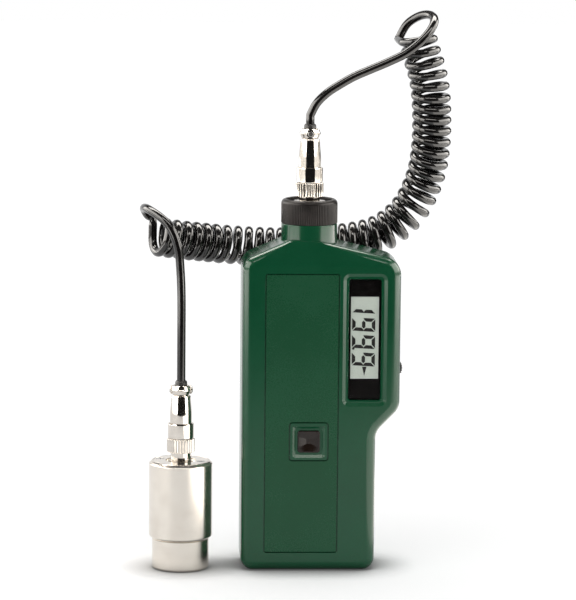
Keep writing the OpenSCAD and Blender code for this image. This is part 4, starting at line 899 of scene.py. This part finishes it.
def makeReading(look):
    # plain seven-part digits, read from above to below with their tops to the right
    whole, gap, sink = bmesh.new(), look["gap"], (0, look["depth"], 0)
    wide, tall, stroke = look["width"], look["height"], look["stroke"]

    def bar(points, z):
        drawnOut(whole, [(look["foot"] + v, look["front"], z - u - look["slant"] * v)
                         for u, v in points], sink)

    half, reach = tall / 2, wide / 2 - gap * look["inset"]
    for digit, z in look["digits"]:
        for upper in (0, 1):
            low, high = upper * half + gap / 2, upper * half + half - gap / 2
            outerEnd, innerEnd = (high, low) if upper else (low, high)
            inner = stroke * (look["mitre"] if upper else -look["mitre"])
            cut = -stroke if upper else stroke
            for side in ([1] if digit == "1" or (digit == "9" and not upper) else [-1, 1]):
                edge, inside = side * wide / 2, side * (wide / 2 - stroke)
                if digit == "1":
                    edge, inside = stroke / 2, -stroke / 2
                bar([(edge, outerEnd), (edge, innerEnd - inner * look["nick"]),
                     ((edge + inside) / 2, innerEnd), (inside, innerEnd + inner),
                     (inside, outerEnd + cut)], z)
        if digit != "1":
            for end, way in ((0, 1), (tall, -1)):
                bar([(-reach, end), (reach, end), (reach - stroke, end + way * stroke),
                     (-reach + stroke, end + way * stroke)], z)
            bar([(-reach + stroke / 2, half), (-reach + stroke, half + stroke / 2),
                 (reach - stroke, half + stroke / 2), (reach - stroke / 2, half),
                 (reach - stroke, half - stroke / 2), (-reach + stroke, half - stroke / 2)], z)
    x, z, radius = look["point"]
    start = Vector((x, look["front"], z))
    whole = join(whole, rod(radius, start, start + Vector(sink), 24))
    x, top, low, reach = look["pointer"]
    drawnOut(whole, [(x - reach, look["front"], top), (x + reach, look["front"], top),
                     (x, look["front"], low)], sink)
    finishPiece("displayReading", whole, "digitInk", slot="mask_black", replaced=())


makeLabel(front)
makeKey(front, keyShape)
makeDisplay(front, screen)
makeReading(reading)
print("label, key and display made")

# Selector knob: a ridged arc that slides up and down
knob = {"y": -2.35, "z": 98.0, "width": 5.6, "height": 6.0, "crown": 5.2, "reach": 1.7,
        "edge": 0.25, "foot": 43.3, "stemStart": 37.7, "stem": 3.0, "ridges": 5,
        "ridgeAngle": 12.5, "ridge": 0.36, "ridgeShare": 0.94, "ridgeEdge": 0.12}


def makeKnob(look):
    y, z, foot, radius = look["y"], look["z"], look["foot"], look["crown"] - look["ridge"]
    centre = Vector((case["corners"][3][0] + look["reach"] - look["crown"], y, z))
    across = Vector((0, look["width"] / 2, 0))
    bm = rod(radius, centre - across, centre + across, 96)
    soften(bm, look["edge"], 2, 60)
    across = across * look["ridgeShare"]
    for k in range(look["ridges"]):
        turn = math.radians((k - (look["ridges"] - 1) / 2) * look["ridgeAngle"])
        place = centre + radius * Vector((math.cos(turn), 0, math.sin(turn)))
        ridge = rod(look["ridge"], place - across, place + across, 20)
        soften(ridge, look["ridgeEdge"], 2, 60)
        bm = carve(bm, ridge, "UNION")
    keep = block((foot, y - through, z - look["height"] / 2),
                 (foot + 8 * past, y + through, z + look["height"] / 2))
    bm = carve(bm, keep, "INTERSECT")
    half = look["stem"] / 2
    bm = carve(bm, block((look["stemStart"], y - half, z - half), (foot + 0.1, y + half, z + half)),
               "UNION")
    finishPiece("selectorKnob", bm, "blackPlastic", body="selector")


makeKnob(knob)
print("selector knob made")

# Collar with its fine ribs, and the socket in it
collar = {"low": 168.3, "top": 180.0, "radius": 13.6, "edge": 2.2, "foot": 0.3, "recess": 11.0,
          "recessEdge": 0.5, "floor": 176.0, "under": 173.0, "bore": 5.05, "spigotLow": 162.3,
          "spigotOut": 11.4, "spigotIn": 9.3, "ribs": 96, "rib": 0.11, "stepsPerRib": 4}


def makeCollar(look):
    low, top, radius, edge, foot = (look[k] for k in ("low", "top", "radius", "edge", "foot"))
    arc = [(radius - edge * (1 - math.sin(math.radians(a))),
            top - edge * (1 - math.cos(math.radians(a)))) for a in range(10, 91, 10)]
    profile = [(look["bore"], look["under"]), (look["bore"], look["floor"]),
               (look["recess"], look["floor"]), (look["recess"], top - look["recessEdge"]),
               (look["recess"] + leadIn, top - 0.05)] + arc
    profile += [(radius, low + foot), (radius - foot, low), (look["spigotOut"], low),
                (look["spigotOut"], look["spigotLow"]), (look["spigotIn"], look["spigotLow"]),
                (look["spigotIn"], look["under"])]
    bm = lathe(profile, look["ribs"] * look["stepsPerRib"])
    ridged(bm, radius, look["ribs"], look["rib"], low + leadIn, top - edge + smallEdge)
    finishPiece("topCollar", bm, "collarBlack", angle=40)


socketShape = {"radius": 5.0, "inner": 3.9, "top": 1.95, "rim": 0.3, "insertLow": -11.7,
               "flange": 7.0, "flangeDepth": 1.5, "threads": 3, "pitch": 0.5,
               "threadDepth": 0.12, "threadStart": 0.35}
ringNut = {"radius": 7.75, "height": 3.2, "bore": 5.05, "rim": 0.3, "edge": 0.5, "bevel": 0.15,
           "slotMiddle": 6.6, "slotReach": 1.6, "slotWidth": 1.0, "slotDepth": 0.6}


def makeSocket(name, shape, centre, under):
    # the tube of the socket, with a fine thread that shows above what it is screwed into
    top, inner, outer, pitch = (shape[k] for k in ("top", "inner", "radius", "pitch"))
    start = top - shape["threadStart"]
    thread = []
    for k in range(shape["threads"]):
        thread += [(outer, start - k * pitch),
                   (outer - shape["threadDepth"], start - (k + 0.5) * pitch)]
    below = under - shape["flangeDepth"]
    profile = [(inner, top - leadIn), (inner + leadIn, top), (outer - shape["rim"], top)] + thread
    profile += [(outer, start - shape["threads"] * pitch), (outer, under), (shape["flange"], under),
                (shape["flange"], below), (outer, below), (outer, shape["insertLow"]),
                (inner, shape["insertLow"])]
    finishPiece(name, lathe(profile, 96, centre), "nickel")


def makeRingNut(shape, centre):
    radius, height, bore, bevel = (shape[k] for k in ("radius", "height", "bore", "bevel"))
    profile = [(bore, 0), (bore, height - shape["rim"]), (bore + shape["rim"], height),
               (radius - shape["edge"], height), (radius - bevel, height - bevel),
               (radius, height - shape["edge"]), (radius, 0)]
    bm = lathe(profile, 128)
    for side in (-shape["slotMiddle"], shape["slotMiddle"]):
        bm = carve(bm, block(
            (side - shape["slotReach"], -shape["slotWidth"] / 2, height - shape["slotDepth"]),
            (side + shape["slotReach"], shape["slotWidth"] / 2, height + past)))
    finishPiece("socketNut", moved(bm, centre), "nickel")


meterPlugPlace = (0, 0, 181.25)
sensorPlugPlace = (-61.5, -6.5, 57.2)
sensorPlate = 48.0  # height of the plate that the sensor's socket is screwed to
makeCollar(collar)
makeRingNut(ringNut, (0, 0, collar["floor"]))
makeSocket("meterSocket", socketShape, meterPlugPlace, collar["under"] - meterPlugPlace[2])
makeSocket("sensorSocket", socketShape, sensorPlugPlace, sensorPlate - sensorPlugPlace[2])
print("collar and sockets made")

# The two plugs, measured up from the bottom of their nuts
plugNut = {"radius": 6.75, "height": 6.6, "bore": 5.1, "lip": 4.0, "lipLow": 3.45,
           "chamfer": 0.4, "steepness": 0.8, "ridges": 30, "ridge": 0.3, "stepsPerRidge": 6}
plugBarrel = {"low": 6.7, "top": 14.1, "radius": 6.35, "spigot": 3.8, "spigotIn": 3.1,
              "spigotLow": -2.6, "spigotEdge": 0.2, "ringLow": 2.05, "ringTop": 3.35, "ring": 4.9,
              "stub": 4.15, "stubTop": 17.1, "rounding": ((0.5, 0), (0.1, 0.25), (0, 0.6))}
plugTail = {"low": 14.1, "top": 27.8, "foot": 5.35, "footEdge": 0.15, "head": 4.65, "bore": 3.4,
            "stub": 4.2, "stubTop": 17.2, "straight": 18.9, "throat": 2.75, "throatLow": 26.2,
            "throatSlope": 1.6, "neckTop": 32.5,
            "rounding": ((0.05, 0.5), (0.25, 0.15), (0.6, 0))}
plugClamp = {"low": 28.1, "top": 32.6, "radius": 5.1, "bore": 3.5, "waist": 3.8, "belt": 0.62,
             "beltEdge": 0.25, "shoulder": (0.55, 0.3), "pad": 2.05, "padStart": 0.6,
             "padReach": 5.25, "padEdge": 0.3, "screw": 0.9, "screwStart": 2, "screwSlack": 0.06,
             "head": 1.35, "headStart": 0.7, "headSlack": 0.05, "headProud": 0.55,
             "headEdge": 0.25, "outside": 8}
plugSleeve = {"low": 26.6, "clampTop": 32.6, "top": 34.8, "radius": 3.0, "throat": 2.7,
              "bore": 2.15, "shoulder": (0.1, 0.15), "rounding": ((0.15, 0.5), (0.5, 0))}


def rounded(radius, end, way, steps):
    # points from an end to a wall, each so far inwards and so far along
    return [(radius - inwards, end + way * along) for inwards, along in steps]


def makePlugNut(name, place, body, look):
    radius, height, bore, lip, chamfer = (
        look[k] for k in ("radius", "height", "bore", "lip", "chamfer"))
    rise = chamfer * look["steepness"]
    profile = [(bore, leadIn), (bore + leadIn, 0), (radius - chamfer, 0), (radius, rise),
               (radius, height - rise), (radius - chamfer, height), (lip + smallEdge, height),
               (lip, height - smallEdge), (lip, look["lipLow"]), (bore, look["lipLow"])]
    bm = lathe(profile, look["ridges"] * look["stepsPerRidge"])
    ridged(bm, radius, look["ridges"], look["ridge"], smallEdge, height - smallEdge)
    finishPiece(name, moved(bm, place), "nickel", body=body, angle=50)


def makePlugBarrel(name, place, look):
    spigot, inner, ring, start = (look[k] for k in ("spigot", "spigotIn", "ring", "spigotLow"))
    edge = look["spigotEdge"]
    profile = [(inner, start), (spigot - edge, start), (spigot, start + edge),
               (spigot, look["ringLow"]), (ring, look["ringLow"]), (ring, look["ringTop"]),
               (spigot, look["ringTop"]), (spigot, look["low"])]
    profile += rounded(look["radius"], look["low"], 1, look["rounding"])
    profile += rounded(look["radius"], look["top"], -1, look["rounding"][::-1])
    profile += [(look["stub"], look["top"]), (look["stub"], look["stubTop"]),
                (inner, look["stubTop"])]
    finishPiece(name, moved(lathe(profile, 128), place), "nickel")


def makePlugTail(name, place, look):
    low, top, foot, head = (look[k] for k in ("low", "top", "foot", "head"))
    bore, throat, straight, edge = (look[k] for k in ("bore", "throat", "straight", "footEdge"))
    slope = (foot - head) / (top - look["rounding"][0][1] - straight)
    profile = [(look["stub"], low), (foot - edge, low), (foot, low + edge), (foot, straight - 1),
               (foot - slope * 0.4, straight + 0.6), (head + slope * 0.8, top - 1.3)]
    profile += rounded(head, top, -1, look["rounding"])
    profile += [(bore, top), (bore, look["neckTop"]), (throat, look["neckTop"]),
                (throat, look["throatLow"]), (bore, look["throatLow"] - look["throatSlope"]),
                (bore, look["stubTop"]), (look["stub"], look["stubTop"])]
    finishPiece(name, moved(lathe(profile, 128), place), "nickel")


def makePlugClamp(name, screwsName, place, turn, look):
    low, top, radius, waist, belt = (look[k] for k in ("low", "top", "radius", "waist", "belt"))
    screw, head, slack, bore = (look[k] for k in ("screw", "head", "screwSlack", "bore"))
    middle, edge, (out, rise) = (low + top) / 2, look["beltEdge"], look["shoulder"]
    profile = [(bore, low), (waist, low), (waist + out, low + rise), (radius - edge, middle - belt),
               (radius, middle - belt * 0.4), (radius, middle + belt * 0.4),
               (radius - edge, middle + belt), (waist + out, top - rise), (waist, top), (bore, top)]
    bm, screws = lathe(profile, 96), bmesh.new()
    spin = Matrix.Rotation(math.radians(turn), 3, "Z")
    for way in (-1, 1):
        outwards = spin @ Vector((0, way, 0))

        def crossRod(size, start, end, steps):
            return rod(size, above(outwards * start, middle), above(outwards * end, middle), steps)

        pad = crossRod(look["pad"], bore + look["padStart"], look["padReach"], 40)
        soften(pad, look["padEdge"], 3, 60)
        bm = carve(bm, pad, "UNION")
        under, seat = radius - look["headStart"], radius + look["headProud"]
        bm = carve(bm, crossRod(head + slack, under - look["headSlack"], look["outside"], 40))
        bm = carve(bm, crossRod(screw + slack, look["screwStart"], look["outside"], 32))
        made = crossRod(head, under, seat, 40)
        soften(made, look["headEdge"], 3, 60)
        made = carve(made, crossRod(screw, bore + 0.02, radius - 0.5, 32), "UNION")
        screws = join(screws, crossHead(made, above(outwards * seat, middle), outwards, head))
    finishPiece(name, moved(bm, place), "nickel")
    finishPiece(screwsName, moved(screws, place), "steel")


def makePlugSleeve(name, place, look):
    radius, throat, bore, (inwards, rise) = (
        look[k] for k in ("radius", "throat", "bore", "shoulder"))
    profile = [(bore, look["low"]), (throat, look["low"]), (throat, look["clampTop"]),
               (radius - inwards, look["clampTop"]), (radius, look["clampTop"] + rise)]
    profile += rounded(radius, look["top"], -1, look["rounding"]) + [(bore, look["top"])]
    finishPiece(name, moved(lathe(profile, 64), place), "sleeveBlack")


for side, plugPlace, screwTurn in (("meter", meterPlugPlace, 0), ("sensor", sensorPlugPlace, 90)):
    makePlugNut(side + "PlugNut", plugPlace, side + "_nut", plugNut)
    makePlugBarrel(side + "PlugBarrel", plugPlace, plugBarrel)
    makePlugTail(side + "PlugTail", plugPlace, plugTail)
    makePlugClamp(side + "PlugClamp", side + "PlugScrews", plugPlace, screwTurn, plugClamp)
    makePlugSleeve(side + "PlugSleeve", plugPlace, plugSleeve)
print("plugs made")

# Sensor on its magnet base
sensorPlace = (-61.5, -6.5, 0)
housing = {"radius": 15.4, "low": 15.1, "top": 53.0, "chamfer": 1.3, "hollow": 8.3,
           "hollowLow": 20.0, "stud": 2.55, "studTop": 19.1, "capGap": 0.05, "capEdge": 0.12,
           "screwHole": 8.3}
sensorLid = {"radius": 13.4, "low": 48.0, "bore": 5.05, "grooveIn": 5.7, "grooveOut": 7.3,
             "grooveDepth": 1.0, "screwRing": 10.4, "screwTurn": -20, "screwHead": 1.9,
             "screwDepth": 1.2, "screwShank": 1.0, "screwLength": 8.2, "screwEdge": 0.25,
             "slack": 0.05, "cross": 1.8}
magnetBase = {"radius": 13.8, "top": 15.0, "chamfer": 1.4, "rim": 0.4, "well": 11.4,
              "wellTop": 7.05, "pole": 5.4, "stud": 2.6, "studLow": 9.9}
magnetRing = {"radius": 11.35, "bore": 5.45, "low": 0.4, "top": 7.0, "edge": 0.2}


def makeSensor(place, look, lid):
    low, top, radius, chamfer = (look[k] for k in ("low", "top", "radius", "chamfer"))
    cap, shank = lid["radius"], lid["screwShank"]
    axes = [Matrix.Rotation(math.radians(lid["screwTurn"] + a), 3, "Z")
            @ Vector((lid["screwRing"], 0, 0)) for a in (0, 180)]
    wall = cap + look["capGap"]
    profile = [(0, look["studTop"]), (look["stud"], look["studTop"]), (look["stud"], low),
               (radius - chamfer, low), (radius - chamfer * 0.5, low + chamfer * 0.35),
               (radius - chamfer * 0.08, low + chamfer * 0.9), (radius, low + chamfer * 1.3),
               (radius, top - chamfer * 1.05), (radius - 0.1, top - chamfer * 0.9),
               (radius - chamfer * 0.92, top - 0.1), (radius - chamfer * 1.1, top),
               (cap + look["capEdge"], top), (wall, top - look["capEdge"]), (wall, lid["low"]),
               (look["hollow"], lid["low"]), (look["hollow"], look["hollowLow"]),
               (0, look["hollowLow"])]
    bm = lathe(profile, 160, closed=False)
    for axis in axes:
        bm = carve(bm, rod(shank + lid["slack"], above(axis, top - look["screwHole"]),
                           above(axis, top + past), 32))
    finishPiece("sensorHousing", moved(bm, place), "nickelSatin")
    groove, edge = top - lid["grooveDepth"], look["capEdge"]
    profile = [(lid["bore"], lid["low"]), (lid["bore"], top), (lid["grooveIn"], top),
               (lid["grooveIn"], groove), (lid["grooveOut"], groove),
               (lid["grooveOut"], top - smallEdge), (lid["grooveOut"] + smallEdge, top),
               (cap - edge, top), (cap, top - edge), (cap, lid["low"])]
    bm, screws = lathe(profile, 160), bmesh.new()
    for axis in axes:
        seat, end = above(axis, top - lid["screwDepth"]), above(axis, top + past)
        bm = carve(bm, rod(lid["screwHead"] + 2 * lid["slack"], seat, end, 48))
        bm = carve(bm, rod(shank + lid["slack"], above(axis, lid["low"] - past), end, 32))
        head = rod(lid["screwHead"], seat, above(axis, top), 48)
        soften(head, lid["screwEdge"], 3, 60)
        head = carve(head, rod(shank, above(axis, top - lid["screwLength"]),
                               above(axis, top - past), 32), "UNION")
        screws = join(screws, crossHead(head, above(axis, top), upwards, lid["cross"]))
    finishPiece("sensorCap", moved(bm, place), "nickelSatin")
    finishPiece("capScrews", moved(screws, place), "steel")


def makeMagnetBase(place, base, magnet):
    radius, chamfer, top, rim = (base[k] for k in ("radius", "chamfer", "top", "rim"))
    profile = [(0, 0), (base["pole"], 0), (base["pole"], base["wellTop"]),
               (base["well"], base["wellTop"]), (base["well"], 0)]
    profile += [(radius - chamfer * (1 - math.sin(math.radians(a))),
                 chamfer * (1 - math.cos(math.radians(a)))) for a in range(0, 91, 15)]
    profile += [(radius, top - rim), (radius - rim, top), (base["stud"], top),
                (base["stud"], base["studLow"]), (0, base["studLow"])]
    finishPiece("magnetCup", moved(lathe(profile, 160, closed=False), place), "nickelSatin",
                body="magnet_base")
    bm = lathe([(magnet["bore"], magnet["low"]), (magnet["radius"], magnet["low"]),
                (magnet["radius"], magnet["top"]), (magnet["bore"], magnet["top"])], 96)
    soften(bm, magnet["edge"], 2, 60)
    finishPiece("ringMagnet", moved(bm, place), "magnetDark", body="magnet_base")


makeSensor(sensorPlace, housing, sensorLid)
makeMagnetBase(sensorPlace, magnetBase, magnetRing)
print("sensor made")

# What stays as the part has it, with its finish
carriedFinishes = {
    "socket_insert": "blackPlastic", "switch_plunger": "whitePlastic",
    "push_switch": "blackPlastic", "lcd_frame": "whitePlastic", "lcd_connectors": "siliconePink",
    "selector_switch": "steel", "main_board": "boardGreen", "board_chips": "blackPlastic",
    "capacitors": "capacitorBlue", "trimmers": "trimmerBlue", "battery": "batteryWrap",
    "battery_snap": "blackPlastic", "battery_leads": "wireRed", "socket_leads": "wireGrey",
    "board_screws": "steel", "meter_plug_insert": "blackPlastic",
    "sensor_plug_insert": "blackPlastic", "sensor_insert": "blackPlastic",
    "sensor_post": "steel", "crystal_rings": "crystal", "electrode_plate": "brass",
    "seismic_mass": "brass", "preload_nut": "steel", "mounting_stud": "steel",
}
for node, finish in carriedFinishes.items():
    nodes[node].data.materials.clear()
    nodes[node].data.materials.append(finishes[finish].owner)
print("carried pieces finished:", len(carriedFinishes))

# Room: floor, sky, lamp, and the cards that only gloss sees
room = {
    "floorSize": 8.0, "floorColour": 0.92, "floorLift": 0.19, "paintedShadowReach": 0.022,
    "paintedShadowStart": 0.45, "paintedShadowDark": 0.25, "skyLight": 0.92, "skyGloss": 0.1,
    "horizon": (0.33, 0.55), "keyPower": 3.0, "keySize": 1.2, "keyPlace": (-0.9, -1.0, 1.5),
    "keyAim": (0, 0, 0.1), "cardColour": (1.0, 0.965, 0.91, 1),
    "cards": {  # corner, two sides from there, brightness
        "darkFront": ((-0.47, -0.5, 0), (0.98, 0, 0), (0, 0, 0.46), 0.01),
        "paleTop": ((-0.35, -0.5, 0.72), (0.7, 0, 0), (0, 0, 0.26), 8.0),
        "overhead": ((-0.75, 0.22, 1.15), (1.5, 0, 0), (0, 0.5, 0), 12.0),
        "leftLow": ((-0.48, -0.51, 0.04), (-0.47, 1.7, 0), (0, 0, 0.055), 8.0),
        "leftHigh": ((-0.48, -0.51, 0.095), (-0.4, 1.4, 0), (0, 0, 0.13), 1.3),
        "leftTop": ((-0.48, -0.51, 0.225), (-0.4, 1.4, 0), (0, 0, 0.5), 7.0),
        "rightLow": ((0.52, -0.51, 0.04), (0.28, 1.2, 0), (0, 0, 0.055), 8.0),
        "rightHigh": ((0.52, -0.51, 0.095), (0.28, 1.2, 0), (0, 0, 0.13), 1.3),
        "rightTop": ((0.52, -0.51, 0.225), (0.28, 1.2, 0), (0, 0, 0.5), 7.0),
        "rightFloor": ((0.08, -0.45, 0.002), (0.7, 0, 0), (0, 0.65, 0), 3.0),
        "darkRight": ((0.81, 0.7, 0), (-0.35, 0.45, 0), (0, 0, 1.2), 0.03),
    },
}


def stagePiece(name, bm, material):
    mesh = bpy.data.meshes.new(name)
    bm.to_mesh(mesh)
    bm.free()
    mesh.materials.append(material.owner)
    thing = bpy.data.objects.new(name, mesh)
    bpy.context.collection.objects.link(thing)
    return thing


def makeFloor(look):
    # white, lifted a little where it is seen, with a painted shadow that darkens it close to what
    # stands on it
    material = NodeTree(bpy.data.materials.new("floorWhite"))
    # painted shadow: ambient occlusion darkens the floor's colour and its lift near the pieces
    close = material.node("ShaderNodeAmbientOcclusion", {},
                          {"Distance": look["paintedShadowReach"]}, "AO")
    paintedShadow = material.levels(close, look["paintedShadowStart"], 1.0, look["paintedShadowDark"])
    paint = material.node("ShaderNodeBsdfDiffuse", {}, {"Color": paintedShadow * look["floorColour"]})
    camera, glossy = (material.node("ShaderNodeLightPath", {}, {}, ray)
                      for ray in ("Is Camera Ray", "Is Glossy Ray"))
    seen = camera.maths("MAXIMUM", glossy)
    lift = material.node("ShaderNodeEmission", {}, {"Strength": seen * look["floorLift"] * paintedShadow})
    material.show(material.node("ShaderNodeAddShader", {}, {0: paint, 1: lift}))
    bm = bmesh.new()
    bmesh.ops.create_grid(bm, x_segments=8, y_segments=8, size=look["floorSize"] / 2)
    stagePiece("floor", bm, material)


def makeCard(name, colour, corner, along, up, brightness):
    # a glowing panel that has one corner here and runs along two sides from it
    corner, along, up = Vector(corner), Vector(along), Vector(up)
    material = NodeTree(bpy.data.materials.new(name))
    glow = material.node("ShaderNodeEmission", {}, {"Color": colour, "Strength": brightness})
    material.show(glow)
    bm = bmesh.new()
    bmesh.ops.create_grid(bm, x_segments=1, y_segments=1, size=0.5)
    turn = Matrix((along, up, along.cross(up).normalized())).transposed().to_4x4()
    bmesh.ops.transform(bm, matrix=Matrix.Translation(corner + (along + up) / 2) @ turn,
                        verts=bm.verts)
    card = stagePiece(name, bm, material)
    card.visible_camera = card.visible_diffuse = False
    card.visible_shadow = card.visible_transmission = False


def makeSky(look):
    # white where it is seen; for gloss white at the horizon and dimmer above; plain for the rest
    world = bpy.data.worlds.new("room")
    sky = NodeTree(world, "ShaderNodeOutputWorld")
    place = sky.node("ShaderNodeTexCoord", {}, {}, "Generated")
    height = sky.node("ShaderNodeSeparateXYZ", {}, {0: place}, "Z")
    fade = sky.levels(height, *look["horizon"], 1.0, look["skyGloss"])

    def background(strength):
        return sky.node("ShaderNodeBackground", {}, {"Color": (1, 1, 1, 1), "Strength": strength})

    chosen = background(look["skyLight"])
    for ray, strength in (("Is Glossy Ray", fade), ("Is Transmission Ray", 1.0),
                          ("Is Camera Ray", 1.0)):
        share = sky.node("ShaderNodeLightPath", {}, {}, ray)
        chosen = sky.node("ShaderNodeMixShader", {},
                          {"Fac": share, 1: chosen, 2: background(strength)})
    sky.show(chosen)
    bpy.context.scene.world = world


def makeLamp(look):
    data = bpy.data.lights.new("keyLamp", "AREA")
    data.energy, data.size = look["keyPower"], look["keySize"]
    lamp = bpy.data.objects.new("keyLamp", data)
    lamp.location = look["keyPlace"]
    aim = Vector(look["keyAim"]) - Vector(look["keyPlace"])
    lamp.rotation_euler = aim.to_track_quat("-Z", "Y").to_euler()
    lamp.visible_glossy = False
    bpy.context.collection.objects.link(lamp)


makeFloor(room)
for cardName, card in room["cards"].items():
    makeCard(cardName, room["cardColour"], *card)
makeSky(room)
makeLamp(room)
bpy.context.scene.view_settings.view_transform = "Standard"
print("stage made")
